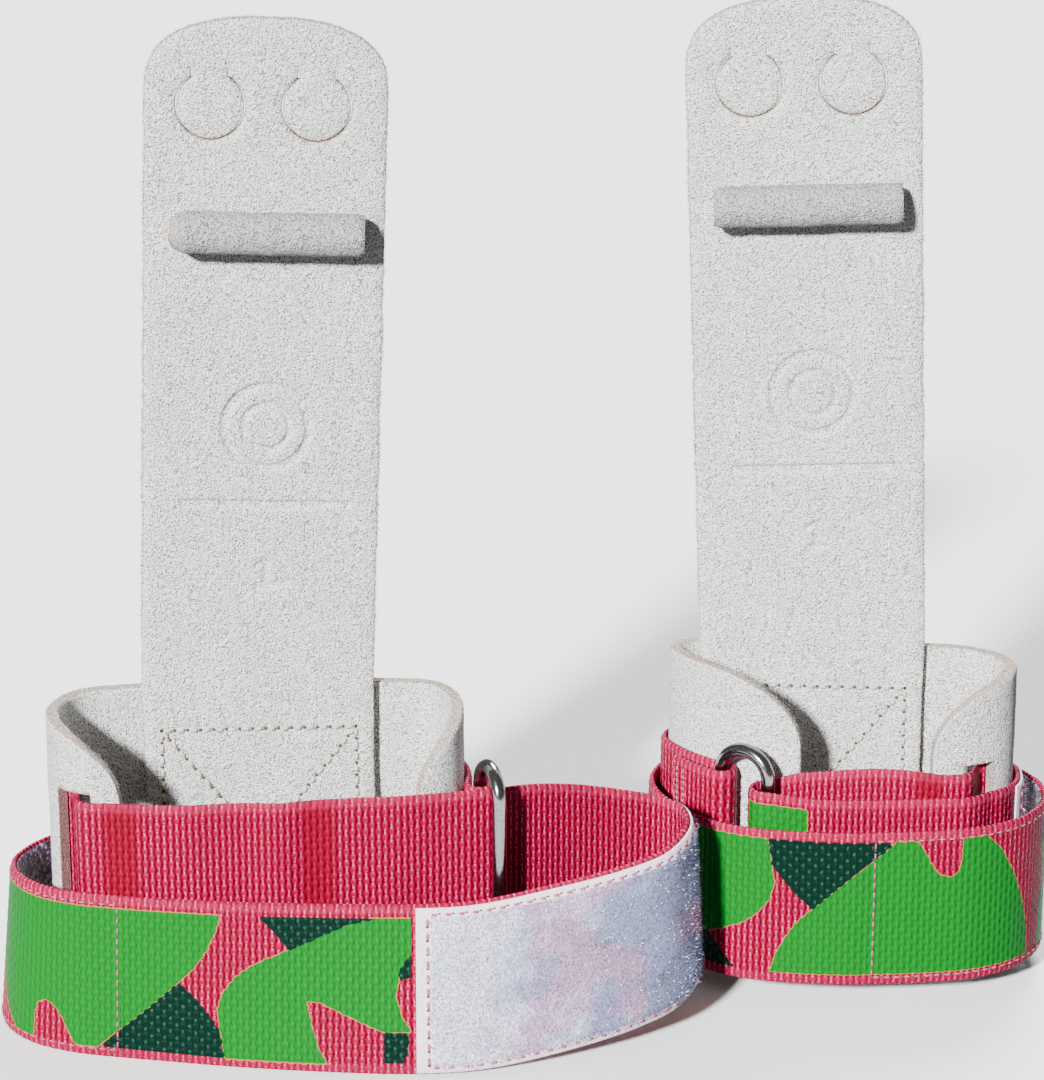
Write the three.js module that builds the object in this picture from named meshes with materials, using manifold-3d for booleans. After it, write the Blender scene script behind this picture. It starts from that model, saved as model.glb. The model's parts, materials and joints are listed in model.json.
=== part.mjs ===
// A pair of gymnast's dowel hand grips, standing on the lower edges of their wrist cuffs.
// Millimetres, +Z up, palms facing -Y. Each grip is modelled in its own frame: X across the palm,
// Y = 0 on the suede face that grips the bar, Z = 0 at the lower edge of the cuff.
import * as THREE from 'three';
import { mergeVertices } from 'three/addons/utils/BufferGeometryUtils.js';
import Module from 'manifold-3d';

const wasm = await Module();
wasm.setup();

// ---- Driving dimensions -------------------------------------------------------------------
const GAP = 0.3;                 // clearance between neighbouring pieces

const PALM_WIDTH = 53;
const PALM_THICKNESS = 2.8;
const PALM_TOP = 230;            // height of the finger end
const PALM_BOTTOM = 3;           // lower edge of the stitched heel
const PALM_CROWN = 16;           // height of the rounded finger end
const CROWN_ROUNDNESS = 2.5;     // exponent of the superellipse that rounds it
const FLEX_HEIGHT = 78.5;        // where the palm bends, just above the cuff

const HOLE_RADIUS = 7.5;
const HOLE_HEIGHT = 210.5;
const HOLE_SPACING = 23.2;
const HOLE_SHIFT = -0.5;         // the pair of holes sits a little off centre
const NECK_WIDTH = 8.1;          // leather left uncut above each finger flap
const NECK_RISE = 8;             // flap hinge above the centre of its hole

const DOWEL_HEIGHT = 183.5;
const DOWEL_LENGTH = 42.5;
const DOWEL_SHIFT = 0.6;
const CORE_RADIUS = 3.1;
const SLEEVE_RADIUS = 4.7;
const SLEEVE_TAIL = 8;           // each tail of the sleeve, sewn flat on the back

const CUFF_THICKNESS = 3;
const CUFF_HEIGHT = 75.5;
const WING_DROP = 18;            // how far the rounded wing ends fall away, top and bottom
const WING_ROUND = 24;           // length of that rounding along the wing
const SLOT_HEIGHT = 41;
const SLOT_LENGTH = 9;

const BOX_WIDTH = 44.6;          // box-X seam that holds the palm to the cuff
const BOX_TOP = 66;
const BOX_BOTTOM = 9;
const THREAD = 0.5;

const WEB_WIDTH = 38;
const WEB_THICKNESS = 1.6;
const TAPE_WIDTH = 35;
const LOOP_TAPE_THICKNESS = 1.6;
const HOOK_TAPE_THICKNESS = 1.1;

const WIRE_RADIUS = 1.65;
const RING_WIDTH = 13;           // between the centres of the ring's two legs
const RING_LEG = 37;             // straight part of each leg

// Each grip: where it stands, how its palm leans, its cuff in plan from the left wing's end to
// the right wing's end, its ring legs, the height of its webbing and the route of its strap.
const LEFT = {
  name: 'left',
  place: [-60.5, 0],
  yaw: 4,
  lean: 2.1,
  slotSide: -1,
  cuff: [[-31, -22.8], [-38.8, -21.4], [-44.6, -16.4], [-46.3, -8.2], [-41, 1.8], [-30, 4.6],
    [0, 4.6], [30, 4.6], [40.5, 1.8], [44.8, -7], [44.3, -16], [40.5, -21.6], [35.5, -24]],
  tabLeg: [49.9, -18],
  freeLeg: [53.4, -30.3],
  webFloor: 20.5,
  loopLean: 7,                   // how far the loose band's lower edge stands out past its top
  tailLean: 3.6,
};
const RIGHT = {
  name: 'right',
  place: [68.5, 28],
  yaw: -4,
  lean: -2.2,
  slotSide: 1,
  cuff: [[-2, -20], [-12, -18.3], [-21.5, -13.5], [-28.5, -7], [-32, -0.5], [-28.6, 4.1],
    [-22, 4.6], [0, 4.6], [26, 4.6], [36, 3.4], [43.7, -1.5], [46.4, -9], [43, -16.5],
    [36, -21], [28, -23]],
  tabLeg: [-20.6, -20.4],
  freeLeg: [-9.6, -27.3],
  webFloor: 16,
  loopLean: 0,
  tailLean: 0,
};

// ---- Materials ----------------------------------------------------------------------------
const finish = (color, roughness, metalness = 0) =>
  new THREE.MeshStandardMaterial({ color, roughness, metalness });
const SUEDE = finish(0xd4d3d0, 0.95);
const WEBBING = finish(0xe3204f, 0.8);
const LOOP_PILE = finish(0xc9cbdd, 0.9);
const HOOK_PILE = finish(0x6d6076, 0.85);
const THREADS = finish(0xf0e8e0, 0.7);
const STEEL = finish(0xc8c8c8, 0.2, 1);
const WOOD = finish(0xc9a574, 0.7);

// ---- Solid helpers ------------------------------------------------------------------------
function toSolid(geometry) {
  const bare = geometry.index ? geometry.toNonIndexed() : geometry.clone();
  for (const name of Object.keys(bare.attributes)) {
    if (name !== 'position') bare.deleteAttribute(name);
  }
  const merged = mergeVertices(bare, 1e-4);
  return new wasm.Manifold(new wasm.Mesh({
    numProp: 3,
    vertProperties: Float32Array.from(merged.attributes.position.array),
    triVerts: Uint32Array.from(merged.index.array),
  }));
}

function toGeometry(solid) {
  const mesh = solid.getMesh();
  const geometry = new THREE.BufferGeometry();
  geometry.setAttribute('position', new THREE.BufferAttribute(mesh.vertProperties, 3));
  geometry.setIndex(new THREE.BufferAttribute(mesh.triVerts, 1));
  geometry.computeVertexNormals();
  return geometry;
}

const join = (...geometries) =>
  toGeometry(geometries.map(toSolid).reduce((whole, piece) => whole.add(piece)));
const cut = (geometry, ...tools) =>
  toGeometry(tools.map(toSolid).reduce((whole, tool) => whole.subtract(tool), toSolid(geometry)));

function piece(name, geometry, material) {
  const mesh = new THREE.Mesh(geometry, material);
  mesh.name = name;
  return mesh;
}

function pivot(name, x, y, z) {
  const group = new THREE.Group();
  group.name = name;
  group.position.set(x, y, z);
  return group;
}

// A flat outline in X and Z becomes a plate whose faces are at y = front and y = front + thickness.
function plate(shape, front, thickness) {
  const geometry = new THREE.ExtrudeGeometry(shape, {
    depth: thickness, bevelEnabled: false, curveSegments: 12,
  });
  return geometry.rotateX(Math.PI / 2).translate(0, front + thickness, 0);
}

function block(width, depth, height, x, y, z) {
  return new THREE.BoxGeometry(width, depth, height).translate(x, y, z);
}

function rodAcross(radius, length, sides, x, y, z) {
  return new THREE.CylinderGeometry(radius, radius, length, sides)
    .rotateZ(Math.PI / 2).translate(x, y, z);
}

function rectangle(left, bottom, right, top) {
  const outline = new THREE.Shape();
  outline.moveTo(left, bottom).lineTo(right, bottom).lineTo(right, top).lineTo(left, top);
  return outline;
}

// ---- Bands that follow a curve in plan ----------------------------------------------------
// A route's points are [x, y, height of the lower edge]; a lean pushes the lower edge outwards.
function routeOf(points) {
  const curve = new THREE.CatmullRomCurve3(
    points.map(([x, y, z = 0]) => new THREE.Vector3(x, y, z)), false, 'centripetal');
  curve.arcLengthDivisions = 400;
  return curve;
}

function frameAt(route, u) {
  const point = route.getPointAt(u);
  const tangent = route.getTangentAt(u);
  const across = Math.hypot(tangent.x, tangent.y);
  return { point, normal: [-tangent.y / across, tangent.x / across] };
}

function offsetPoint(route, u, distance, z) {
  const { point, normal } = frameAt(route, u);
  return [point.x + normal[0] * distance, point.y + normal[1] * distance, z];
}

// A bar bent along the route from share `from` to share `to` of its length. `heights(u)` gives
// its lower and upper edges above the route, and `offset` moves it sideways off the route.
function band(route, { from = 0, to = 1, thickness, heights, offset = 0, lean = () => 0, step = 3,
  rows = 1 }) {
  const columns = Math.max(2, Math.ceil((route.getLength() * (to - from)) / step));
  const geometry = new THREE.BoxGeometry(1, thickness, 1, columns, 1, rows);
  const spots = geometry.attributes.position;
  for (let i = 0; i < spots.count; i += 1) {
    const u = from + (to - from) * (spots.getX(i) + 0.5);
    const share = spots.getZ(i) + 0.5;
    const { point, normal } = frameAt(route, u);
    const [low, high] = heights(u);
    const above = low + (high - low) * share;
    const side = offset + spots.getY(i) + lean(u) * (0.5 - above / WEB_WIDTH);
    spots.setXYZ(i, point.x + normal[0] * side, point.y + normal[1] * side, point.z + above);
  }
  return geometry;
}

// ---- Palm leather -------------------------------------------------------------------------
function palmOutline(bottom) {
  const half = PALM_WIDTH / 2;
  const outline = new THREE.Shape();
  outline.moveTo(-half, bottom).lineTo(half, bottom);
  const steps = 20;
  for (let i = 0; i <= steps; i += 1) {
    const angle = (Math.PI * i) / steps;
    const x = half * Math.sign(Math.cos(angle)) * Math.abs(Math.cos(angle)) ** (2 / CROWN_ROUNDNESS);
    const z = PALM_CROWN * Math.sin(angle) ** (2 / CROWN_ROUNDNESS);
    outline.lineTo(x, PALM_TOP - PALM_CROWN + z);
  }
  return outline;
}

function flapOutline(radius, neckWidth, top) {
  const start = Math.acos(neckWidth / 2 / radius);
  const outline = new THREE.Shape();
  outline.moveTo(neckWidth / 2, top).lineTo(-neckWidth / 2, top);
  outline.absarc(0, 0, radius, Math.PI - start, 2 * Math.PI + start, false);
  return outline;
}

const holeCentres = [-1, 1].map((side) => HOLE_SHIFT + (side * HOLE_SPACING) / 2);

function palmLeather() {
  const roll = PALM_THICKNESS / 2;
  const sheet = plate(palmOutline(FLEX_HEIGHT), 0, PALM_THICKNESS);
  const rounded = join(sheet, rodAcross(roll, PALM_WIDTH, 16, 0, roll, FLEX_HEIGHT));
  const fingerHoles = holeCentres.map((x) =>
    plate(flapOutline(HOLE_RADIUS + GAP / 2, NECK_WIDTH + 2 * GAP, NECK_RISE + roll + GAP), -1,
      PALM_THICKNESS + 2).translate(x, 0, HOLE_HEIGHT));
  const sleeveSlit = block(DOWEL_LENGTH + 2 * GAP, PALM_THICKNESS + 2, 3.4, DOWEL_SHIFT, roll,
    DOWEL_HEIGHT);
  return cut(rounded, ...fingerHoles, sleeveSlit);
}

function fingerFlap() {
  const roll = PALM_THICKNESS / 2;
  const disc = plate(flapOutline(HOLE_RADIUS - GAP / 2, NECK_WIDTH, NECK_RISE), 0, PALM_THICKNESS);
  return join(disc, rodAcross(roll, NECK_WIDTH, 12, 0, roll, NECK_RISE))
    .translate(0, -roll, -NECK_RISE);
}

function palmHeel(grip) {
  const corner = 4;
  const half = PALM_WIDTH / 2;
  const lean = THREE.MathUtils.degToRad(grip.lean);
  const top = FLEX_HEIGHT - (PALM_THICKNESS / 2 + GAP) / Math.cos(lean);
  const slant = half * Math.tan(lean);
  const outline = new THREE.Shape();
  outline.moveTo(half, top - slant).lineTo(-half, top + slant);
  outline.lineTo(-half, PALM_BOTTOM + corner);
  outline.absarc(-half + corner, PALM_BOTTOM + corner, corner, Math.PI, 1.5 * Math.PI, false);
  outline.absarc(half - corner, PALM_BOTTOM + corner, corner, 1.5 * Math.PI, 2 * Math.PI, false);
  return plate(outline, 0, PALM_THICKNESS);
}

// ---- Dowel --------------------------------------------------------------------------------
const DOWEL_AXIS = -SLEEVE_RADIUS - GAP;       // the sleeve just clears the suede face

function dowelSleeve() {
  const boreRadius = CORE_RADIUS + GAP;
  const neck = 1.4;                            // half the height of the doubled leather
  const neckAngle = Math.asin(neck / SLEEVE_RADIUS);
  const back = PALM_THICKNESS + GAP;
  const tailThickness = 1.3;
  const outline = new THREE.Shape();           // section in Y and Z, extruded along X
  outline.absarc(DOWEL_AXIS, 0, SLEEVE_RADIUS, neckAngle, 2 * Math.PI - neckAngle, false);
  for (const [y, z] of [[back, -neck], [back, -SLEEVE_TAIL], [back + tailThickness, -SLEEVE_TAIL],
    [back + tailThickness, SLEEVE_TAIL], [back, SLEEVE_TAIL], [back, neck]]) outline.lineTo(y, z);
  const bore = new THREE.Path();
  bore.absarc(DOWEL_AXIS, 0, boreRadius, 0, 2 * Math.PI, true);
  outline.holes.push(bore);
  return new THREE.ExtrudeGeometry(outline, {
    depth: DOWEL_LENGTH, bevelEnabled: false, curveSegments: 24,
  }).rotateX(Math.PI / 2).rotateZ(Math.PI / 2).translate(DOWEL_SHIFT - DOWEL_LENGTH / 2, 0, 0);
}

function seamFrame(width, bottom, top, front) {
  const outline = rectangle(-width / 2, bottom, width / 2, top);
  outline.holes.push(rectangle(-width / 2 + THREAD, bottom + THREAD, width / 2 - THREAD,
    top - THREAD));
  return plate(outline, front, THREAD);
}

// ---- Wrist cuff ---------------------------------------------------------------------------
function wingDrop(distanceFromEnd) {
  if (distanceFromEnd >= WING_ROUND) return 0;
  const share = 1 - distanceFromEnd / WING_ROUND;
  return WING_DROP * (1 - Math.sqrt(Math.max(0, 1 - share * share)));
}

function cuffHeights(route) {
  const length = route.getLength();
  return (u) => {
    const drop = wingDrop(Math.min(u, 1 - u) * length);
    return [drop, CUFF_HEIGHT - drop];
  };
}

// Where the webbing goes in behind the leather bridge and comes out again, as distances from the
// end of the wing that has the two slots.
const FRONT_SLOT = 10.5;
const REAR_SLOT = 29;

function slotAt(grip, route, distance) {
  const share = distance / route.getLength();
  const u = grip.slotSide > 0 ? 1 - share : share;
  const { point, normal } = frameAt(route, u);
  return new THREE.BoxGeometry(SLOT_LENGTH, 12, SLOT_HEIGHT)
    .rotateZ(Math.atan2(-normal[0], normal[1]))
    .translate(point.x, point.y, grip.webFloor + WEB_WIDTH / 2);
}

function wristCuff(grip, route) {
  const sheet = band(route, {
    thickness: CUFF_THICKNESS, heights: cuffHeights(route), step: 2.4, rows: 1,
  });
  return cut(sheet, slotAt(grip, route, FRONT_SLOT), slotAt(grip, route, REAR_SLOT));
}

// ---- Ring ---------------------------------------------------------------------------------
function halfTurn(along, height, sign) {
  const arc = new THREE.CatmullRomCurve3(Array.from({ length: 13 }, (_, i) => {
    const angle = (Math.PI * (i - 0.35)) / 11.3;
    return new THREE.Vector3(
      along[0] * (RING_WIDTH / 2) * (1 - Math.cos(angle)),
      along[1] * (RING_WIDTH / 2) * (1 - Math.cos(angle)),
      height + (sign * RING_WIDTH * Math.sin(angle)) / 2);
  }));
  const section = new THREE.Shape();
  section.absarc(0, 0, WIRE_RADIUS, 0, 2 * Math.PI, false);
  return new THREE.ExtrudeGeometry(section, {
    steps: 9, extrudePath: arc, curveSegments: 6, bevelEnabled: false,
  });
}

function strapRing(grip) {
  const reach = [0, 1].map((i) => grip.freeLeg[i] - grip.tabLeg[i]);
  const along = reach.map((value) => value / Math.hypot(...reach));
  const leg = (distance) => new THREE.CylinderGeometry(WIRE_RADIUS, WIRE_RADIUS, RING_LEG, 12)
    .rotateX(Math.PI / 2)
    .translate(along[0] * distance, along[1] * distance, 0);
  return join(leg(0), leg(RING_WIDTH), halfTurn(along, RING_LEG / 2, 1),
    halfTurn(along, -RING_LEG / 2, -1));
}

// ---- Strap routes -------------------------------------------------------------------------
// Points round a ring leg, turning from one direction to another (degrees).
function turn(centre, radius, fromAngle, toAngle, z) {
  const steps = 6;
  return Array.from({ length: steps + 1 }, (_, i) => {
    const angle = THREE.MathUtils.degToRad(fromAngle + ((toAngle - fromAngle) * i) / steps);
    return [centre[0] + radius * Math.cos(angle), centre[1] + radius * Math.sin(angle), z];
  });
}

const OUTSIDE = CUFF_THICKNESS / 2 + GAP + WEB_THICKNESS / 2;
const FOLD_RADIUS = WIRE_RADIUS + 2 * GAP + WEB_THICKNESS / 2;

// The webbing's distance outside the cuff's middle, at a distance from the end of the slotted wing.
// The first layer goes in through the rear slot, under the leather bridge and out through the
// front slot. The second layer lies on the first, and on the bridge.
function layerOffset(layer, distance) {
  const into = THREE.MathUtils.smoothstep(distance, REAR_SLOT - 3.4, REAR_SLOT + 3.4);
  const out = THREE.MathUtils.smoothstep(distance, FRONT_SLOT - 3.4, FRONT_SLOT + 3.4);
  const bridge = out - into;
  if (layer === 1) return OUTSIDE * (1 - 2 * bridge);
  return OUTSIDE + (WEB_THICKNESS + 1.4 * GAP) * (1 - bridge);
}

function alongCuff(grip, cuff, { layer, from, to, floors }) {
  const length = cuff.getLength();
  const steps = Math.round(Math.abs(to - from) / (layer === 1 ? 1.5 : 3));
  return Array.from({ length: steps + 1 }, (_, i) => {
    const distance = THREE.MathUtils.lerp(from, to, i / steps);
    const u = grip.slotSide > 0 ? 1 - distance / length : distance / length;
    const z = grip.webFloor + THREE.MathUtils.lerp(floors[0], floors[1], i / steps);
    return offsetPoint(cuff, u, layerOffset(layer, distance), z);
  });
}

function leftStrapPoints(cuff) {
  const [ring, free] = [LEFT.tabLeg, LEFT.freeLeg];
  const z = LEFT.webFloor;
  return [
    [52.6, -6, z], [53.2, -12, z],
    ...turn(ring, FOLD_RADIUS, -21, -196, z),
    ...alongCuff(LEFT, cuff, { layer: 1, from: cuff.getLength() - 17, to: 3, floors: [0, 0] }),
    [-20, -27, z], [0, -28, z + 0.5], [22, -28, z + 1], [40, -26.6, z + 1],
    [(ring[0] + free[0]) / 2 - 0.4, -24.7, z + 1], [62, -20, z], [72, -16, z - 2],
    [84, -12.9, z - 5], [92.5, -12.4, z - 7], [97, -15.8, z - 8], [98, -20.6, z - 10],
    [92.6, -29.6, z - 13], [83, -35, z - 15], [66, -40, z - 17.5], [48, -42.6, 0.6],
    [34, -43, 0.3], [11, -40, 0], [-8, -36.9, 0], [-24, -33.3, 0], [-32, -31.3, 0],
  ];
}

const LEFT_TAIL = [[-32, -31.3, 0], [-42, -28.2, 0], [-51, -23, 0], [-57, -15, 0], [-58.4, -6, 0],
  [-54.6, 3, 0], [-47.4, 11, 0]];

function rightStrapPoints(cuff) {
  const [ring, free] = [RIGHT.tabLeg, RIGHT.freeLeg];
  const z = RIGHT.webFloor;
  return [
    [-31.4, -13.6, z - 1], [-27, -18.8, z - 1],
    ...turn(ring, FOLD_RADIUS, 243, 423, z - 1),
    ...alongCuff(RIGHT, cuff, { layer: 1, from: cuff.getLength() - 20, to: 3, floors: [-1, 0] }),
    [20, -26.1, z + 1.5], [8, -24.9, z + 0.5], [-3, -23.9, z - 1],
    ...turn(free, FOLD_RADIUS + 0.85, 90, 270, z - 3),
    [2, -30.8, z - 4.5], [12, -29.4, z - 5], [21, -28.4, z - 5],
    ...alongCuff(RIGHT, cuff, { layer: 2, from: 4, to: cuff.getLength() - 38, floors: [-5, -10] }),
    [-37.2, -5.6, z - 10.2], [-35.4, -12.6, z - 10.6], [-30.2, -21, z - 11], [-23, -28.6, z - 11],
    [-13, -33.2, z - 11], [0, -34.8, z - 11], [10, -34.8, z - 11], [14.7, -34.2, z - 11],
  ];
}

const RIGHT_TAIL = [[14.7, -34.2, 5], [26, -32.6, 5], [39.4, -29, 5], [49.8, -21.6, 5], [55.3, -11, 5],
  [55.2, 0, 5], [51.4, 7.6, 5]];

// ---- Tapes and their seams ----------------------------------------------------------------
const webHeights = () => [0, WEB_WIDTH];
const tapeHeights = () => [(WEB_WIDTH - TAPE_WIDTH) / 2, (WEB_WIDTH + TAPE_WIDTH) / 2];

function nearestShare(route, x, y, from, to) {
  let best = from;
  let bestDistance = Infinity;
  for (let u = from; u <= to; u += 0.002) {
    const point = route.getPointAt(u);
    const distance = Math.hypot(point.x - x, point.y - y);
    if (distance < bestDistance) [best, bestDistance] = [u, distance];
  }
  return best;
}

// A seam runs round the edge of a tape: two long rows and two short ones, joined at the corners.
function seamBand(route, from, to, offset, lean) {
  const [low, high] = tapeHeights();
  const thickness = THREAD;
  const length = route.getLength();
  const row = (bottom) => band(route, {
    from, to, thickness, offset, lean, heights: () => [bottom, bottom + THREAD],
  });
  const end = (start) => band(route, {
    from: start, to: start + THREAD / length, thickness, offset, lean,
    heights: () => [low + 1, high - 1],
  });
  return join(row(low + 1), row(high - 1 - THREAD), end(from), end(to - THREAD / length));
}

function barTack(route, from, offset) {
  const length = route.getLength();
  const bar = (start, low, high) => band(route, {
    from: start / length, to: (start + THREAD) / length, thickness: THREAD, offset,
    heights: () => [low, high],
  });
  const tie = band(route, {
    from: from / length, to: (from + 3) / length, thickness: THREAD, offset,
    heights: () => [WEB_WIDTH / 2, WEB_WIDTH / 2 + THREAD],
  });
  return join(bar(from, 2, WEB_WIDTH - 2), bar(from + 2.5, 2, WEB_WIDTH - 2), tie);
}

// ---- One grip -----------------------------------------------------------------------------
function boxStitching() {
  const half = BOX_WIDTH / 2;
  const frame = seamFrame(BOX_WIDTH, BOX_BOTTOM, BOX_TOP, -GAP - THREAD);
  const rise = BOX_TOP - BOX_BOTTOM;
  const diagonal = (sign) => block(Math.hypot(BOX_WIDTH, rise) - THREAD * 1.5, THREAD, THREAD,
    0, 0, 0)
    .rotateY(-sign * Math.atan2(rise, 2 * half))
    .translate(0, -GAP - THREAD / 2, (BOX_TOP + BOX_BOTTOM) / 2);
  return join(frame, diagonal(1), diagonal(-1));
}

function palmGroup(grip) {
  const half = PALM_THICKNESS / 2;
  const hinge = pivot(`${grip.name}_palm_flex`, 0, half, FLEX_HEIGHT);
  hinge.rotation.y = THREE.MathUtils.degToRad(grip.lean);
  const down = (geometry) => geometry.translate(0, -half, -FLEX_HEIGHT);
  const atDowel = (geometry) => down(geometry.translate(0, 0, DOWEL_HEIGHT));
  const core = rodAcross(CORE_RADIUS, DOWEL_LENGTH - 1.6, 20, DOWEL_SHIFT, DOWEL_AXIS, 0);
  const seam = seamFrame(DOWEL_LENGTH - 3, -SLEEVE_TAIL + 1.2, SLEEVE_TAIL - 1.2,
    PALM_THICKNESS + 2 * GAP + 1.3).translate(DOWEL_SHIFT, 0, 0);
  hinge.add(
    piece(`${grip.name}_palm_leather`, down(palmLeather()), SUEDE),
    piece(`${grip.name}_dowel_core`, atDowel(core), WOOD),
    piece(`${grip.name}_dowel_sleeve`, atDowel(dowelSleeve()), SUEDE),
    piece(`${grip.name}_dowel_stitching`, atDowel(seam), THREADS),
  );
  holeCentres.forEach((x, i) => {
    const side = ['left', 'right'][i];
    const flap = pivot(`${grip.name}_flap_${side}_flex`, x, 0, HOLE_HEIGHT + NECK_RISE - FLEX_HEIGHT);
    flap.add(piece(`${grip.name}_finger_flap_${side}`, fingerFlap(), SUEDE));
    hinge.add(flap);
  });
  return hinge;
}

function strapGroup(grip, cuff) {
  const isLeft = grip === LEFT;
  const route = routeOf(isLeft ? leftStrapPoints(cuff) : rightStrapPoints(cuff));
  const tailRoute = routeOf(isLeft ? LEFT_TAIL : RIGHT_TAIL);
  const outward = isLeft ? 1 : -1;             // which side of the route the printed face is on
  const length = route.getLength();
  const { loopLean, tailLean } = grip;
  const lean = (u) => outward * (loopLean * THREE.MathUtils.smoothstep(u, 0.62, 0.8)
    - (loopLean - tailLean) * THREE.MathUtils.smoothstep(u, 0.85, 1));
  const leanOfTail = () => outward * tailLean;
  const tapeOffset = outward * (WEB_THICKNESS / 2 + GAP + LOOP_TAPE_THICKNESS / 2);
  const seamOffset = tapeOffset + outward * (LOOP_TAPE_THICKNESS / 2 + GAP + THREAD / 2);
  const hookOffset = -outward * (WEB_THICKNESS / 2 + GAP + HOOK_TAPE_THICKNESS / 2);
  const [tapeStart, tapeEnd] = isLeft
    ? [nearestShare(route, 72, -16, 0.4, 0.8), nearestShare(route, 34, -42, 0.7, 1)]
    : [nearestShare(route, 47, -14, 0.4, 0.8), nearestShare(route, -27, 9, 0.5, 0.9)];
  const web = band(route, {
    to: 1 - GAP / length, thickness: WEB_THICKNESS, heights: webHeights, lean, step: 2.6,
  });
  const tape = band(route, {
    from: tapeStart, to: tapeEnd, thickness: LOOP_TAPE_THICKNESS, offset: tapeOffset, lean,
    heights: tapeHeights,
  });
  const tapeSeam = seamBand(route, tapeStart + 2 / length, tapeEnd - 2 / length, seamOffset, lean);
  const tailWeb = band(tailRoute, { thickness: WEB_THICKNESS, heights: webHeights, lean: leanOfTail });
  const hook = band(tailRoute, {
    from: 0.01, to: 0.99, thickness: HOOK_TAPE_THICKNESS, offset: hookOffset,
    heights: tapeHeights, lean: leanOfTail,
  });
  const hookSeamOffset = outward * (WEB_THICKNESS / 2 + GAP + THREAD / 2);
  const hookSeam = seamBand(tailRoute, 0.02, 0.98, hookSeamOffset, leanOfTail);
  const tackOffset = outward * (WEB_THICKNESS / 2 + GAP + THREAD / 2);
  const { point, normal } = frameAt(tailRoute, 0);
  const face = (outward * WEB_THICKNESS) / 2;
  const hinge = pivot(`${grip.name}_tail_peel`, point.x + normal[0] * face,
    point.y + normal[1] * face, 0);
  const fromHinge = (geometry) => geometry.translate(-hinge.position.x, -hinge.position.y, 0);
  hinge.add(
    piece(`${grip.name}_strap_tail`, fromHinge(tailWeb), WEBBING),
    piece(`${grip.name}_hook_tape`, fromHinge(hook), HOOK_PILE),
    piece(`${grip.name}_hook_tape_stitching`, fromHinge(hookSeam), THREADS),
  );
  const straps = new THREE.Group();
  straps.add(
    piece(`${grip.name}_strap`, web, WEBBING),
    piece(`${grip.name}_tab_stitching`, barTack(route, 1.2, tackOffset), THREADS),
    piece(`${grip.name}_loop_tape`, tape, LOOP_PILE),
    piece(`${grip.name}_loop_tape_stitching`, tapeSeam, THREADS),
    hinge,
  );
  return straps;
}

function handGrip(grip) {
  const body = new THREE.Group();
  body.position.set(...grip.place, 0);
  body.rotation.z = THREE.MathUtils.degToRad(grip.yaw);
  const cuff = routeOf(grip.cuff);
  const ringFloor = grip.webFloor + WEB_WIDTH / 2 - (grip === LEFT ? 0 : 1.5);
  const ring = pivot(`${grip.name}_ring_swivel`, ...grip.tabLeg, ringFloor);
  ring.add(piece(`${grip.name}_strap_ring`, strapRing(grip), STEEL));
  body.add(
    palmGroup(grip),
    piece(`${grip.name}_palm_heel`, palmHeel(grip), SUEDE),
    piece(`${grip.name}_box_stitching`, boxStitching(), THREADS),
    piece(`${grip.name}_wrist_cuff`, wristCuff(grip, cuff), SUEDE),
    ring,
    strapGroup(grip, cuff),
  );
  return body;
}

// ---- The pair, centred over the origin ----------------------------------------------------
const group = new THREE.Group();
group.add(handGrip(LEFT), handGrip(RIGHT));
group.updateMatrixWorld(true);
const extent = new THREE.Box3().setFromObject(group, true);
const middle = extent.getCenter(new THREE.Vector3());
group.position.set(-middle.x, -middle.y, -extent.min.z);

export default group;
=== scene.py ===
"""A pair of gymnast's dowel hand grips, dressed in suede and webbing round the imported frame.

Each grip is worked out in its own coordinates, in millimetres: X across the palm, Y = 0 on the suede
face that grips the bar, Z = 0 on the surface that the cuff stands on.
"""
import json
import math

import bpy
import numpy as np
from mathutils import Matrix, Vector, noise
from mathutils.geometry import delaunay_2d_cdt
from mathutils.kdtree import KDTree


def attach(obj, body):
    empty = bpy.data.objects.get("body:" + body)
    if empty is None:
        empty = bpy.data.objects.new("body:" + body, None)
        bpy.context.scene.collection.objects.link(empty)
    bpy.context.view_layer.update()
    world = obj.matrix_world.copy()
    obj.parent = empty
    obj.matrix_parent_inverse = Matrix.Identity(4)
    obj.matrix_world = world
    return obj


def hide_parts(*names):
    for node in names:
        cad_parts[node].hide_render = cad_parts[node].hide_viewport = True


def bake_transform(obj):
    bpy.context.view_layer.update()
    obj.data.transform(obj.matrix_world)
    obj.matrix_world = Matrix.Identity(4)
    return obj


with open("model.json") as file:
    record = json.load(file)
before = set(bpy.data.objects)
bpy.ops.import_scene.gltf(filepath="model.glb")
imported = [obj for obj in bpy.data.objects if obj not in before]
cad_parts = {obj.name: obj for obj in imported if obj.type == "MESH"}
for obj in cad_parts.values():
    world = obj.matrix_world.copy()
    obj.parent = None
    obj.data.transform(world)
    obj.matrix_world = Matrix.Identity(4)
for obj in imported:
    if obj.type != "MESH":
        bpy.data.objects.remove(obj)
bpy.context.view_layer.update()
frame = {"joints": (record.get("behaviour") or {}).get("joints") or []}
joints = {joint["name"]: joint for joint in frame["joints"]}

MM = 0.001
GAP = 0.3

PALM_WIDTH = 53
PALM_THICKNESS = 2.8
PALM_TOP = 230
PALM_BOTTOM = 3
PALM_CORNER = 4
PALM_CROWN = 16
CROWN_ROUNDNESS = 2.5
FLEX_HEIGHT = 78.5
FLEX_BELOW, FLEX_ABOVE = 3, 9    # the stretch given to blend_bodies, below and above FLEX_HEIGHT

HOLE_RADIUS = 7.5
HOLE_HEIGHT = 210.5
HOLE_SPACING = 23.2
HOLE_SHIFT = -0.5
NECK_WIDTH = 8.1
NECK_RISE = 8
CUT_GAP = 0.13                   # half the width of the cut round a flap
EDGE_ROUND = 0.34                # how far a cut edge of the palm is worn away

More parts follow.
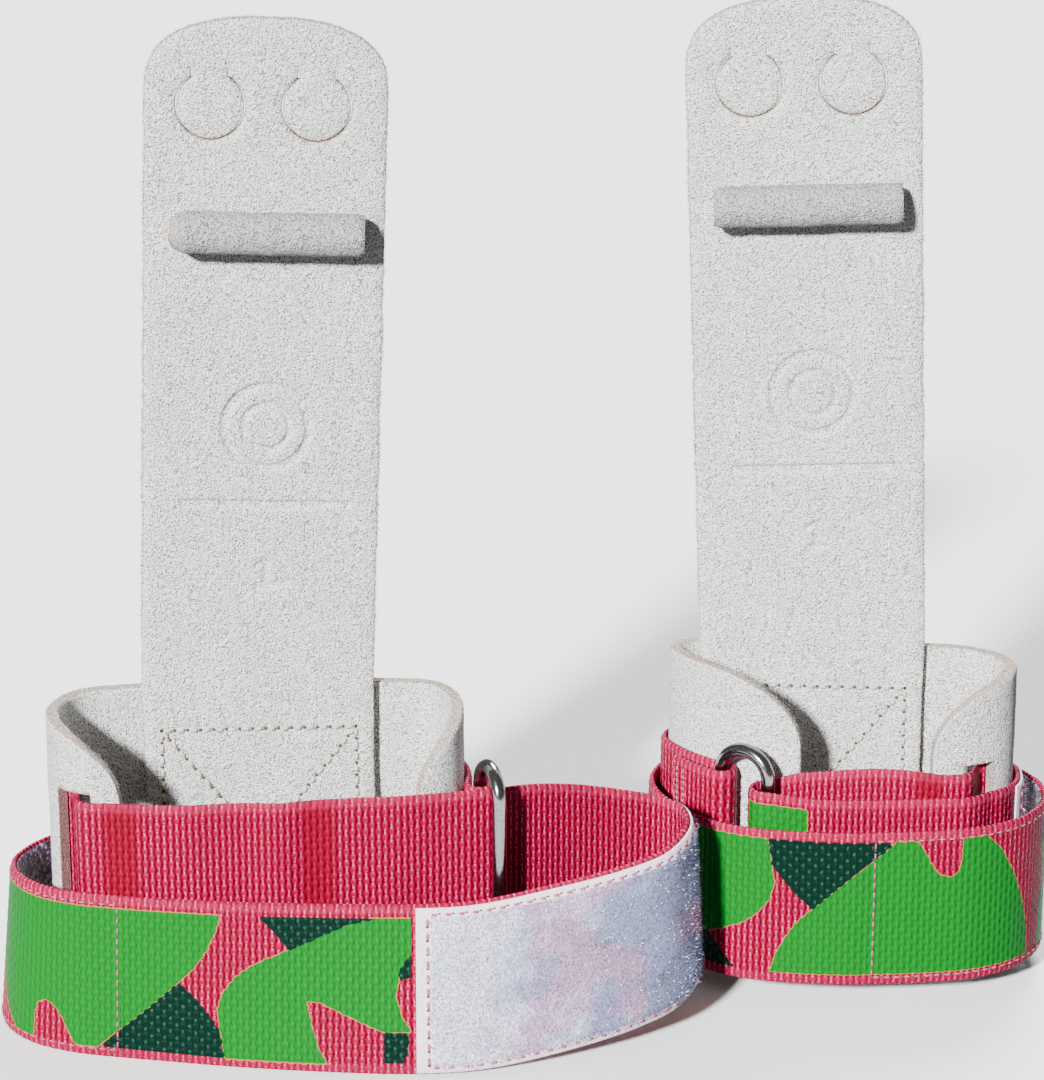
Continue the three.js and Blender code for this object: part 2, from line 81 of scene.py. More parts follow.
DOWEL_HEIGHT = 183.5
DOWEL_LENGTH = 42.5
DOWEL_SHIFT = 0.6
SLEEVE_RADIUS = 4.7
SLEEVE_TAIL = 8
PATCH_THICKNESS = 1.4
SLEEVE_NECK = 1.4                # half the width of the slit that the sleeve passes through

CUFF_THICKNESS = 3
CUFF_HEIGHT = 75.5
WING_DROP = 18
WING_ROUND = 24
SLOT_HEIGHT = 41
SLOT_LENGTH = 9
FRONT_SLOT = 10.5
REAR_SLOT = 29
SLOT_EASE = 3.4                  # the strap bends through a slot over twice this length

BOX_WIDTH = 44.6
BOX_TOP = 66
BOX_BOTTOM = 9

WEB_WIDTH = 38
WEB_THICKNESS = 1.6
RIB = 1.45                       # pitch of the webbing's ribs along the strap
YARN = 1.5                       # pitch of its rows across the strap
TAPE_WIDTH = 37
END_BORDER = 0.5                 # a tape's flat border: its width at the sides over that at the ends
LOOP_TAPE_THICKNESS = 1.6
HOOK_TAPE_THICKNESS = 1.1

WIRE_RADIUS = 1.65
RING_WIDTH = 13
RING_LEG = 37

OUTSIDE = CUFF_THICKNESS / 2 + GAP + WEB_THICKNESS / 2
FOLD_RADIUS = WIRE_RADIUS + 2 * GAP + WEB_THICKNESS / 2


# ---- Small helpers ----
def smooth(value, low, high):
    """0 below `low`, 1 above `high`, smooth between them."""
    share = np.clip((np.asarray(value, float) - low) / (high - low), 0, 1)
    return share * share * (3 - 2 * share)


def eased(rim, reach):
    """1 on a rim, falling to 0 at `reach` from it."""
    return 1 - np.clip(rim / reach, 0, 1)


def unit(vectors):
    return vectors / np.linalg.norm(vectors, axis=-1, keepdims=True)


def stack(*parts):
    """Coordinates side by side; a plain number goes to every point."""
    return np.stack(np.broadcast_arrays(*parts), -1)


def in_space(flat):
    """2-D vectors in plan with a height of 0."""
    return stack(flat[:, 0], flat[:, 1], 0.0)


def travel_along(points):
    """The distance travelled at each point of a line."""
    steps = np.linalg.norm(np.diff(points, axis=0), axis=1)
    return np.concatenate([[0], np.cumsum(steps)])


def sample(values, travel, at):
    """Rows of `values`, which are known at the distances `travel`, at other distances."""
    return np.stack([np.interp(at, travel, column) for column in values.T], -1)


def rough(points, size, seed, pitch):
    """Smooth seeded noise at each point, from -size to size; `pitch` is its grain in mm."""
    offset = Vector((seed * 7.3, seed * 3.1, seed * 1.7))
    return np.array([noise.noise(Vector(p) / pitch + offset) for p in points]) * size


def arc(centre, radius, start, end, count):
    """Points in a plane from one angle to another, in degrees."""
    angles = np.radians(np.linspace(start, end, count))
    return [(centre[0] + radius * math.cos(a), centre[1] + radius * math.sin(a)) for a in angles]


def circle(sides):
    """Cosines and sines of evenly spread angles."""
    angles = np.arange(sides) * 2 * math.pi / sides
    return np.array((np.cos(angles), np.sin(angles)))


def link(name, data):
    made = bpy.data.objects.new(name, data)
    bpy.context.scene.collection.objects.link(made)
    return made


# ---- The two grips ----
class Grip:
    """One grip: its place in the frame, and what differs between the two."""

    def __init__(self, name, **facts):
        self.name = name
        self.__dict__.update(facts)
        flex = joints[f"{name}_palm_flex"]
        axis = Vector(flex["axis"])
        turn_flat = Matrix.Rotation(math.atan2(axis.y, axis.x), 4, "Z")
        turn_lean = Matrix.Rotation(math.asin(-axis.z), 4, "Y")
        here = Matrix.Translation(Vector(flex["pos_m"]))
        back = Matrix.Translation(Vector((0, -PALM_THICKNESS / 2, -FLEX_HEIGHT)) * MM)
        scale = Matrix.Scale(MM, 4)
        self.upright = np.array(here @ turn_flat @ back @ scale)
        self.leaning = np.array(here @ turn_flat @ turn_lean @ back @ scale)

    def place(self, points, matrix=None):
        """Millimetres in the grip's own coordinates to metres in the frame."""
        matrix = self.upright if matrix is None else matrix
        return np.asarray(points, float) @ matrix[:3, :3].T + matrix[:3, 3]

    def place_leaning(self, points):
        """The same for what leans with the top of the palm."""
        return self.place(points, self.leaning)

    def place_palm(self, points):
        """The same for the palm, which leans above the cuff."""
        points = np.asarray(points, float)
        share = smooth(points[:, 2], FLEX_HEIGHT - 8, FLEX_HEIGHT + 8)[:, None]
        return self.place(points) * (1 - share) + self.place_leaning(points) * share


LEFT = Grip(
    "left", slot_side=-1, outward=1,
    cuff=[(-31, -22.8), (-38.8, -21.4), (-44.6, -16.4), (-46.3, -8.2), (-41, 1.8), (-30, 4.6),
          (0, 4.6), (30, 4.6), (40.5, 1.8), (44.8, -7), (44.3, -16), (40.5, -21.6), (35.5, -24)],
    tab_leg=(49.9, -18), free_leg=(53.4, -30.3), web_floor=20.5, ring_drop=0,
    loop_lean=7, tail_lean=3.6,
    tail=[(-32, -31.3, 0), (-42, -28.2, 0), (-51, -23, 0), (-57, -15, 0), (-58.4, -6, 0),
          (-54.6, 3, 0), (-47.4, 11, 0)],
    tape_from=(72, -16), tape_to=(34, -42), tape_from_share=(0.4, 0.8), tape_to_share=(0.7, 1),
    pile_density=4.6, worn_end=1.7, palm_seed=3, cuff_seed=0, dowel_seed=11,
    front=(0.2, 0.6), waves=(((5, -28), 1.1, 5), ((30, -27), 0.35, 6), ((-16, -27), 0.3, 5)),
    shade_spots=(((13, -28), 5), ((-31, -24), 5)), unprinted=((-450, -415),), green_stretch=(),
)
RIGHT = Grip(
    "right", slot_side=1, outward=-1,
    cuff=[(-2, -20), (-12, -18.3), (-21.5, -13.5), (-28.5, -7), (-32, -0.5), (-28.6, 4.1),
          (-22, 4.6), (0, 4.6), (26, 4.6), (36, 3.4), (43.7, -1.5), (46.4, -9), (43, -16.5),
          (36, -21), (28, -23)],
    tab_leg=(-20.6, -20.4), free_leg=(-9.6, -27.3), web_floor=16, ring_drop=1.5,
    loop_lean=0, tail_lean=0,
    tail=[(14.7, -34.2, 5), (26, -32.6, 5), (39.4, -29, 5), (49.8, -21.6, 5), (55.3, -11, 5),
          (55.2, 0, 5), (51.4, 7.6, 5)],
    tape_from=(47, -14), tape_to=(-27, 9), tape_from_share=(0.4, 0.8), tape_to_share=(0.5, 0.9),
    pile_density=2.6, worn_end=0.3, palm_seed=9, cuff_seed=7, dowel_seed=12,
    front=(0.2, 0.45), waves=(((12, -25), 0.35, 6),), shade_spots=(((27, -24), 4),),
    unprinted=((-470, -425), (-262, -186)), green_stretch=((-247, -233),),
)
GRIPS = (LEFT, RIGHT)


# ---- Materials ----
def rgb(red, green, blue, shade=1.0):
    return (red * shade, green * shade, blue * shade, 1)


class Value:
    """An output of a material's node. Arithmetic with it adds Math nodes."""

    def __init__(self, paint, socket):
        self.paint = paint
        self.socket = socket

    def calc(self, operation, *others, clamp=False):
        return self.paint.add("ShaderNodeMath", 0, dict(enumerate((self, *others))),
                              operation=operation, use_clamp=clamp)

    def __add__(self, other):
        return self.calc("ADD", other)

    def __sub__(self, other):
        return self.calc("SUBTRACT", other)

    def __rsub__(self, other):
        return self.calc("MULTIPLY_ADD", -1.0, other)

    def __mul__(self, other):
        return self.calc("MULTIPLY", other)

    def cosine(self):
        return self.calc("COSINE")

    def step(self, low, high):
        """0 below `low`, 1 above `high`, smooth between them."""
        inputs = {"Value": self, "From Min": low, "From Max": high}
        return self.paint.add("ShaderNodeMapRange", "Result", inputs,
                              interpolation_type="SMOOTHSTEP")

    def mix(self, first, second):
        """The first colour where the value is 0, the second where it is 1."""
        return self.paint.add("ShaderNodeMix", 2, {0: self, 6: first, 7: second}, data_type="RGBA")


class Paint:
    """A material and its nodes. `add`, and the short methods after it, give a node's output."""

    def __init__(self, name):
        self.material = bpy.data.materials.new(name)
        self.material.use_nodes = True
        self.tree = self.material.node_tree

    def fill(self, node, inputs):
        """Links values to a node's sockets, or sets the sockets to plain numbers and colours."""
        for key, value in inputs.items():
            if isinstance(value, Value):
                self.tree.links.new(value.socket, node.inputs[key])
            else:
                node.inputs[key].default_value = value

    def add(self, kind, output, inputs=None, **settings):
        made = self.tree.nodes.new(kind)
        for key, value in settings.items():
            setattr(made, key, value)
        self.fill(made, inputs or {})
        return Value(self, made.outputs[output])

    def solid_place(self):
        return self.add("ShaderNodeTexCoord", "Object")

    def cloth_place(self):
        return self.add("ShaderNodeUVMap", "UV", uv_map="cloth")

    def attribute(self, name):
        return self.add("ShaderNodeAttribute", "Fac", attribute_name=name)

    def grain(self, place, scale, detail=2.0, roughness=0.55):
        return self.add("ShaderNodeTexNoise", "Fac", {"Vector": place, "Scale": scale,
                                                      "Detail": detail, "Roughness": roughness})

    def finish(self, colour, roughness, bump=None, specular=0.5, metallic=0.0):
        """Sets the shader; `bump` is (height, depth in metres, strength)."""
        looks = {"Base Color": colour, "Roughness": roughness, "Specular IOR Level": specular,
                 "Metallic": metallic}
        if bump:
            inputs = dict(zip(("Height", "Distance", "Strength"), bump))
            looks["Normal"] = self.add("ShaderNodeBump", "Normal", inputs)
        self.fill(self.tree.nodes["Principled BSDF"], looks)
        return self.material


def suede_material(name, shade):
    """Pale chrome-tanned suede: short matted nap, darker pits, warm rough cut edges."""
    paint = Paint(name)
    place = paint.solid_place()
    fine = paint.grain(place, 2700, 2, 0.6)
    nap = paint.grain(place, 1150, 2, 0.6)
    blotch = paint.grain(place, 60, 3, 0.5)
    tone = (nap * 0.5 + blotch * 0.3).step(0.26, 0.54).mix(rgb(0.80, 0.79, 0.78, shade),
                                                           rgb(0.95, 0.95, 0.95, shade))
    # The dark pits are the nap's grain, darkened in part as painted shade in its hollows.
    pitted = fine.step(0.46, 0.64).mix(tone, rgb(0.22, 0.218, 0.212, shade))
    cut = fine.step(0.36, 0.62).mix(rgb(0.70, 0.58, 0.50), rgb(0.30, 0.22, 0.18))
    colour = paint.attribute("edge").step(0.15, 0.6).mix(pitted, cut)
    return paint.finish(colour, 0.95, (nap * 0.9 - fine, 0.0009, 1.0), specular=0.1)


def webbing_material():
    """Ribbed pink webbing. Its outer face is printed: signed distances say where the inks lie."""
    paint = Paint("webbing")
    place = paint.cloth_place()
    wobble = paint.grain(place, 260) * 0.9 - 0.45
    along, across = (
        paint.add("ShaderNodeSeparateXYZ", axis, {"Vector": place}) * (math.pi / (pitch * MM))
        + wobble for axis, pitch in (("X", RIB), ("Y", YARN)))
    rib = (along * 2.0).cosine()
    yarn = (across * 2.0).cosine()
    checker = along.cosine() * across.cosine()
    fine = paint.grain(place, 2600)
    plain = paint.attribute("plain")

    # Pale streaks on the rib crowns, in patches: painted highlights that stand in for the nylon's
    # sheen.
    sheen_streak = rib.step(0.35, 0.95) * (1.0 - checker.step(0.40, 0.75)) * fine.step(0.44, 0.58)
    wear_and_sheen = paint.grain(place, 55) * 1.5 + 0.15
    pale = (sheen_streak * wear_and_sheen).calc("MULTIPLY", 1.0 - plain, clamp=True)
    # Darker red in the weave's hollows than on its crowns: painted shade.
    deep = (rib + checker).step(-1.5, 0.6).mix(rgb(0.075, 0.0, 0.006), rgb(0.27, 0.0, 0.030))
    # Where `plain` is set, the red darkens and the painted highlights are left out: painted shade
    # over stretches of the strap.
    deep = (plain * 0.6).mix(deep, rgb(0.13, 0.0, 0.004))
    lit = (paint.attribute("selvedge") * 0.35).mix(deep, rgb(0.42, 0.02, 0.08))
    inks = pale.mix(lit, rgb(0.66, 0.12, 0.24))

    ragged = checker * 0.14 + yarn * 0.07
    printed = paint.attribute("printed")
    # Lighter spots on one set of checker cells: painted highlights on the inks.
    spots = (checker * -1.0).step(0.35, 1.0) * fine.step(0.35, 0.62)
    # This mask is 1 on the weave's crowns: the lighter ink goes there and the darker in the hollows,
    # as painted shade.
    hollow = (rib + checker).step(-1.4, -0.2)
    for name, low, high, spot, fringe in (
            ("green_ink", rgb(0.0, 0.085, 0.007), rgb(0.0, 0.135, 0.011), rgb(0.0, 0.165, 0.014),
             rgb(0.42, 0.12, 0.05)),
            ("dark_ink", rgb(0.0, 0.006, 0.004), rgb(0.0, 0.014, 0.008), rgb(0.022, 0.075, 0.050),
             None)):
        reach = paint.attribute(name) + ragged
        if fringe:
            inks = (printed * reach.step(-0.26, -0.14)).mix(inks, fringe)
        colour = spots.mix(hollow.mix(low, high), spot)
        inks = (printed * reach.step(-0.06, 0.06)).mix(inks, colour)
    height = rib * 0.30 - checker * 0.34 - yarn * 0.08 + fine * 0.22
    return paint.finish(inks, 0.45, (height, 0.0003, 1.0), specular=0.05)


def pile_colours(paint, place):
    """The brushed tape: nearly white at one end, then rose and blue-grey clouds, then dark grey. The
    clouds are the tape's own colour; the fall to dark grey is painted shade.
    """
    aged = paint.grain(place, 70, 3, 0.6) * 1.5 + paint.attribute("aged")
    rosy = paint.grain(place, 48, 2, 0.45).step(0.45, 0.55)
    wear_and_sheen = rosy.mix(rgb(0.20, 0.24, 0.42), rgb(0.46, 0.24, 0.42))
    # Dark grey towards the tape's start: painted shade.
    grey = rosy.mix(rgb(0.050, 0.053, 0.090), rgb(0.10, 0.052, 0.090))
    return aged.step(1.15, 1.75).mix(aged.step(0.70, 1.20).mix(rgb(0.82, 0.86, 1.0), wear_and_sheen), grey)


def loop_tape_material():
    """The woven ground of the loop tape, flat and pale along its selvedges."""
    paint = Paint("loop_tape")
    place = paint.cloth_place()
    fuzz = paint.grain(place, 1500, 3, 0.65)
    tufted = fuzz.step(0.3, 0.7)
    ground = tufted.mix(rgb(0.20, 0.19, 0.27), pile_colours(paint, place))
    flat = tufted.mix(rgb(0.62, 0.46, 0.58), rgb(0.85, 0.78, 0.88))
    colour = paint.attribute("edge").step(0.4, 0.6).mix(ground, flat)
    return paint.finish(colour, 0.85, (fuzz, 0.0004, 0.7))


def pile_material():
    """Glossy nylon loops: a few of them glint."""
    paint = Paint("loop_pile")
    colours = pile_colours(paint, paint.cloth_place())
    return paint.finish(paint.attribute("glint").mix(colours, rgb(0.95, 0.95, 1.0)), 0.3)


def hook_material():
    """Dark moulded hooks with pale tips."""
    paint = Paint("hook_tape")
    tufts = paint.add("ShaderNodeTexVoronoi", "Distance", {"Vector": paint.cloth_place(),
                                                           "Scale": 900.0})
    colour = tufts.step(0.1, 0.6).mix(rgb(0.42, 0.34, 0.50), rgb(0.035, 0.016, 0.035))
    return paint.finish(colour, 0.5, (tufts, 0.0003, 0.6))


def thread_material(name, colour, shade):
    """Twisted sewing thread; the beads at needle holes are near-black, as painted shade in the holes.
    """
    paint = Paint(name)
    twist = paint.grain(paint.solid_place(), 3600)
    yarn = twist.step(0.35, 0.65).mix(shade, colour)
    return paint.finish(paint.attribute("hole").mix(yarn, rgb(0.05, 0.04, 0.035)), 0.75,
                        (twist, 0.0001, 0.6))


def steel_material():
    """Plated wire, polished, with fine drawing marks along it."""
    paint = Paint("steel")
    stretched = paint.add("ShaderNodeMapping", "Vector", {"Vector": paint.solid_place(),
                                                          "Scale": (1.0, 1.0, 0.25)})
    marks = paint.grain(stretched, 5200, 3)
    # The base colour is far darker than bright plate: painted dark reflection; the lighter and darker
    # drawing marks along the wire are its own.
    colour = marks.step(0.3, 0.7).mix(rgb(0.17, 0.17, 0.18), rgb(0.32, 0.32, 0.32))
    polish = paint.add("ShaderNodeMapRange", "Result", {"Value": marks, "To Min": 0.08,
                                                        "To Max": 0.26})
    return paint.finish(colour, polish, (marks, 0.00002, 0.4), metallic=1.0)


SUEDE = suede_material("suede", 1.0)
# The dowel's sleeve gets a darker copy of the suede: painted shade, which keeps the sleeve, facing up
# more than the palm, darker than the palm.
SHADED_SLEEVE_SUEDE = suede_material("shaded_sleeve_suede", 0.58)
WEBBING = webbing_material()
LOOP_TAPE = loop_tape_material()
PILE = pile_material()
HOOK_TAPE = hook_material()
PALE_THREAD = thread_material("pale_thread", rgb(0.66, 0.60, 0.50), rgb(0.34, 0.28, 0.21))
PINK_THREAD = thread_material("pink_thread", rgb(0.52, 0.15, 0.20), rgb(0.26, 0.02, 0.05))
STEEL = steel_material()


# ---- Camera, light and floor ----
def aim(made, place, direction):
    made.location = place
    made.rotation_mode = "QUATERNION"
    made.rotation_quaternion = direction.to_track_quat("-Z", "Y")


def make_camera():
    """The camera looks along +Y and 18 degrees down, from 800 mm in front of the pair's middle."""
    elevation = math.radians(18)
    target = Vector(joints["left_palm_flex"]["pos_m"]) + Vector((60.6, -1.4, 33.04)) * MM
    ahead = Vector((0, math.cos(elevation), -math.sin(elevation)))
    data = bpy.data.cameras.new("camera")
    data.lens = 118
    data.sensor_width = 36
    camera = link("camera", data)
    aim(camera, target - ahead * 0.8, ahead)
    bpy.context.scene.camera = camera


def make_sun(name, towards, energy, softness):
    """A sun that shines along `towards`; `softness` is the angle it fills, in degrees."""
    data = bpy.data.lights.new(name, "SUN")
    data.energy = energy
    data.angle = math.radians(softness)
    direction = Vector(towards).normalized()
    aim(link(name, data), Vector((0, 0, 0.1)) - direction, direction)


def make_studio():
    world = bpy.data.worlds.new("studio")
    bpy.context.scene.world = world
    world.use_nodes = True
    background = world.node_tree.nodes["Background"].inputs
    background["Color"].default_value = (1, 1, 1, 1)
    background["Strength"].default_value = 0.22
    make_sun("key", (0.47, 1, -0.55), 14.0, 6)
    make_sun("back", (-0.2, -0.8, -1), 5.0, 25)
    mesh = bpy.data.meshes.new("floor")
    reach = 40
    mesh.from_pydata([(-reach, -reach, 0), (reach, -reach, 0), (reach, reach, 0),
                      (-reach, reach, 0)], [], [(0, 1, 2, 3)])
    mesh.materials.append(Paint("floor_paint").finish(rgb(0.93, 0.93, 0.93), 0.9))
    floor = link("floor", mesh)
    floor.location.z = -0.0004
    floor.visible_diffuse = False


# ---- Mesh helpers ----
def make_part(grip, name, points, faces, material, slot, body=None, replaces=(), place=None,
              uv=None, angle=60, **floats):
    """A smooth-shaded mesh of one grip. `uv` and the floats hold one value per vertex."""
    name = f"{grip.name}_{name}"
    mesh = bpy.data.meshes.new(name)
    mesh.from_pydata((place or grip.place)(points).tolist(), [], np.asarray(faces).tolist()
                     if isinstance(faces, np.ndarray) else faces)
    mesh.update()
    if uv is not None:
        corners = np.zeros(len(mesh.loops), np.int32)
        mesh.loops.foreach_get("vertex_index", corners)
        layer = mesh.uv_layers.new(name="cloth")
        layer.data.foreach_set("uv", np.asarray(uv, np.float32)[corners].ravel())
    for key, values in floats.items():
        stored = mesh.attributes.new(key, "FLOAT", "POINT")
        stored.data.foreach_set("value", np.asarray(values, np.float32).ravel())
    mesh.shade_smooth()
    mesh.set_sharp_from_angle(angle=math.radians(angle))
    mesh.materials.append(material)
    made = link(name, mesh)
    if body:
        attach(made, f"{grip.name}_{body}")
    if replaces:
        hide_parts(*(f"{grip.name}_{node}" for node in replaces))
    return made


def blend_bodies(grip, piece, start, end, place=None):
    """Bakes a piece's transform into its mesh. The stretch from start to end, between two bodies of
    its grip, is placed in the frame, but the piece is not bent along it.
    """
    start, end = (place or grip.place)([start, end])
    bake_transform(piece)
    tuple(start)
    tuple(end)


def grid_faces(rows, columns, start=0, flip=False):
    index = start + np.arange(rows * columns).reshape(rows, columns)
    quads = np.stack([index[:-1, :-1], index[1:, :-1], index[1:, 1:], index[:-1, 1:]], -1)
    quads = quads.reshape(-1, 4)
    return quads[:, ::-1] if flip else quads


def slab_faces(rows, columns, flip=False):
    """Faces of a closed slab whose vertices are its outer grid, then its inner grid."""
    size = rows * columns
    index = np.arange(size).reshape(rows, columns)
    rim = np.concatenate([index[:-1, 0], index[-1, :-1], index[:0:-1, -1], index[0, :0:-1]])
    after = np.roll(rim, -1)
    sides = np.stack([rim, rim + size, after + size, after], -1)
    faces = np.concatenate([grid_faces(rows, columns), grid_faces(rows, columns, size, True), sides])
    return faces[:, ::-1] if flip else faces


def tube_faces(rings, sides, closed=False):
    """Quads between rings of `sides` vertices; `closed` joins the last ring to the first."""
    return [[i * sides + k, i * sides + (k + 1) % sides, (i + 1) % rings * sides + (k + 1) % sides,
             (i + 1) % rings * sides + k]
            for i in range(rings if closed else rings - 1) for k in range(sides)]


class Shapes:
    """Collects stitches and the dark beads of painted shade at needle holes into one mesh."""

    def __init__(self):
        self.points, self.faces, self.values = [], [], []
        self.count = 0

    def extend(self, points, faces, value):
        self.points.append(points)
        self.faces.extend([tuple(int(i) + self.count for i in face) for face in faces])
        self.values.append(np.full(len(points), value))
        self.count += len(points)

    def capsule(self, start, end, up, radius):
        """A plump stitch from start to end, a little flattened along `up`."""
        side = np.cross(unit(end - start), up)
        sides = 6
        ring = np.tensordot(circle(sides), (side, up * 0.8), (0, 0))
        stations = ((0, 0.45, -0.5), (0.12, 0.85, 0), (0.35, 1, 0.25), (0.65, 1, 0.25),
                    (0.88, 0.85, 0), (1, 0.45, -0.5))
        rings = [start + (end - start) * along + up * radius * rise + ring * radius * width
                 for along, width, rise in stations]
        last = (len(stations) - 1) * sides
        caps = [list(range(sides))[::-1], list(range(last, last + sides))]
        self.extend(np.vstack(rings), tube_faces(len(stations), sides) + caps, 0.0)

    def bead(self, centre, up, radius):
        """A low near-black bead: painted shade in the mouth of a needle hole."""
        side = unit(np.cross(up, (0.31, 0.52, 0.79)))
        sides = 8
        ring = np.tensordot(circle(sides), (side, np.cross(up, side)), (0, 0))
        points = np.vstack([centre + ring * radius, centre + ring * radius * 0.6 + up * 0.1])
        caps = [list(range(sides, 2 * sides)), list(range(sides))[::-1]]
        self.extend(points, tube_faces(2, sides) + caps, 1.0)

    def row(self, start, end, count, gap, up, radius, hole_radius, hole_rise):
        """A straight row of stitches; `gap` is the share left free at both ends of each."""
        start, end, up = (np.array(v, float) for v in (start, end, up))
        pitch = (end - start) / count
        for i in range(count):
            here = start + pitch * i
            self.capsule(here + pitch * gap, here + pitch * (1 - gap), up, radius)
            self.bead(here + up * hole_rise, up, hole_radius)

    def build(self, grip, name, material, slot, body=None, replaces=(), place=None):
        return make_part(grip, name, np.vstack(self.points), self.faces, material, slot, body,
                         replaces, place, angle=80, hole=np.concatenate(self.values))


def fibres(root, outwards, one_way, other_way, long, spread, wide, random):
    """Bent closed three-sided spikes: points and faces for every root at once."""
    count = len(root)
    swirl = random.uniform(0, 2 * math.pi, (count, 1))
    lying = np.cos(swirl) * one_way + np.sin(swirl) * other_way
    middle = root + outwards * long * 0.62 + lying * long * spread * 0.45
    tip = root + outwards * long * 0.72 + lying * long * spread * 1.15
    ring = []
    for centre, size in ((root - outwards * 0.25, wide), (middle, wide * 0.9)):
        for angle in (0, 2 * math.pi / 3, 4 * math.pi / 3):
            ring.append(centre + size * (math.cos(angle) * one_way + math.sin(angle) * other_way))
    points = np.stack([*ring, tip], axis=1).reshape(-1, 3)
    index = np.arange(count)[:, None] * 7
    quads, spikes = (np.concatenate([index + np.array(face) for face in faces]) for faces in (
        ((0, 1, 4, 3), (1, 2, 5, 4), (2, 0, 3, 5)), ((3, 4, 6), (4, 5, 6), (5, 3, 6), (0, 2, 1))))
    return points, quads.tolist() + spikes.tolist()


def some_longer(random, shape, share):
    """1 for this share of the fibres, and 1.9 for the rest."""
    return np.where(random.random(shape) > share, 1.9, 1)


def suede_fuzz(grip, name, edges, body, per_mm, seed, place=None, material=SUEDE):
    """Loose fibres that stand off cut edges, each given as its points, outward directions and
    vectors through the thickness."""
    random = np.random.default_rng(seed)
    spots = []
    for points, outward, thickness in edges:
        travel = travel_along(points)
        count = round(travel[-1] * per_mm)
        at = random.uniform(0, travel[-1], count)
        deep = random.uniform(0, 1, (count, 1))
        spot, away, through = (sample(v, travel, at) for v in (points, outward, thickness))
        spots.append((spot + through * deep, away, through))
    root, away, through = (np.vstack(parts) for parts in zip(*spots))
    away, through = unit(away), unit(through)
    shape = (len(root), 1)
    long = random.uniform(0.2, 0.62, shape) * some_longer(random, shape, 0.93)
    points, faces = fibres(root, away, np.cross(away, through), through, long,
                           random.uniform(0.3, 1.2, shape), random.uniform(0.03, 0.06, shape),
                           random)
    make_part(grip, name, points, faces, material, "suede", body, place=place, angle=180)


# ---- Curves in plan ----
class Route:
    """A centripetal Catmull-Rom curve through [x, y, height of the lower edge]."""

    def __init__(self, points, per_segment=24):
        points = np.array([(*p, 0.0)[:3] for p in points], float)
        points = np.vstack([2 * points[0] - points[1], points, 2 * points[-1] - points[-2]])
        share = np.linspace(0, 1, per_segment, endpoint=False)[:, None]
        stretches = []
        for a, b, c, d in zip(points, points[1:], points[2:], points[3:]):
            before, here, after = (math.sqrt(np.linalg.norm(q - p)) for p, q in
                                   ((a, b), (b, c), (c, d)))
            enter = ((b - a) / before - (c - a) / (before + here) + (c - b) / here) * here
            leave = ((c - b) / here - (d - b) / (here + after) + (d - c) / after) * here
            stretches.append(b + enter * share + (3 * (c - b) - 2 * enter - leave) * share ** 2
                             + (2 * (b - c) + enter + leave) * share ** 3)
        self.points = np.vstack([*stretches, points[-2:-1]])
        self.travel = travel_along(self.points)
        self.length = self.travel[-1]
        slope = unit(np.gradient(self.points[:, :2], axis=0))
        self.normals = stack(-slope[:, 1], slope[:, 0])

    def at(self, distance):
        """Points and flat normals at distances along the curve, in millimetres."""
        return (sample(self.points, self.travel, distance),
                unit(sample(self.normals, self.travel, distance)))

    def nearest(self, x, y, low, high):
        """Distance along the curve, between two shares of it, of its nearest point to (x, y)."""
        inside = (self.travel >= low * self.length) & (self.travel <= high * self.length)
        away = np.hypot(self.points[:, 0] - x, self.points[:, 1] - y)
        return self.travel[np.argmin(np.where(inside, away, np.inf))]


def turn(centre, radius, start, end, z):
    return [(*p, z) for p in arc(centre, radius, start, end, 7)]


def on_cuff(grip, distance):
    """A cuff point and normal at a distance from the end of the slotted wing."""
    return grip.route.at(grip.route.length - distance if grip.slot_side > 0 else distance)


def layer_offset(layer, distance):
    """How far a layer of strap runs outside the cuff; between the slots the first runs inside."""
    out, into = (smooth(distance, slot - SLOT_EASE, slot + SLOT_EASE)
                 for slot in (FRONT_SLOT, REAR_SLOT))
    bridge = out - into
    if layer == 1:
        return OUTSIDE * (1 - 2 * bridge)
    return OUTSIDE + (WEB_THICKNESS + 1.4 * GAP) * (1 - bridge)


def along_cuff(grip, layer, start, end, floors):
    """The strap's points on the cuff; distances are from the end of the slotted wing."""
    made = []
    for share in np.linspace(0, 1, round(abs(end - start) / (1.5 if layer == 1 else 3)) + 1):
        distance = start + (end - start) * share
        point, normal = on_cuff(grip, distance)
        side = layer_offset(layer, distance)
        made.append((point[0] + normal[0] * side, point[1] + normal[1] * side,
                     grip.web_floor + floors[0] + (floors[1] - floors[0]) * share))
    return made


def left_strap_points(grip):
    ring, free, z = grip.tab_leg, grip.free_leg, grip.web_floor
    return [
        (52.6, -6, z), (53.2, -12, z),
        *turn(ring, FOLD_RADIUS, -21, -196, z),
        *along_cuff(grip, 1, grip.route.length - 17, 3, (0, 0)),
        (-20, -27, z), (0, -28, z + 0.5), (22, -28, z + 1), (40, -26.6, z + 1),
        ((ring[0] + free[0]) / 2 - 0.4, -24.7, z + 1), (62, -20, z), (72, -16, z - 2),
        (84, -12.9, z - 5), (92.5, -12.4, z - 7), (97, -15.8, z - 8), (98, -20.6, z - 10),
        (92.6, -29.6, z - 13), (83, -35, z - 15), (66, -40, z - 17.5), (48, -42.6, 0.6),
        (34, -43, 0.3), (11, -40, 0), (-8, -36.9, 0), (-24, -33.3, 0), (-32, -31.3, 0),
    ]


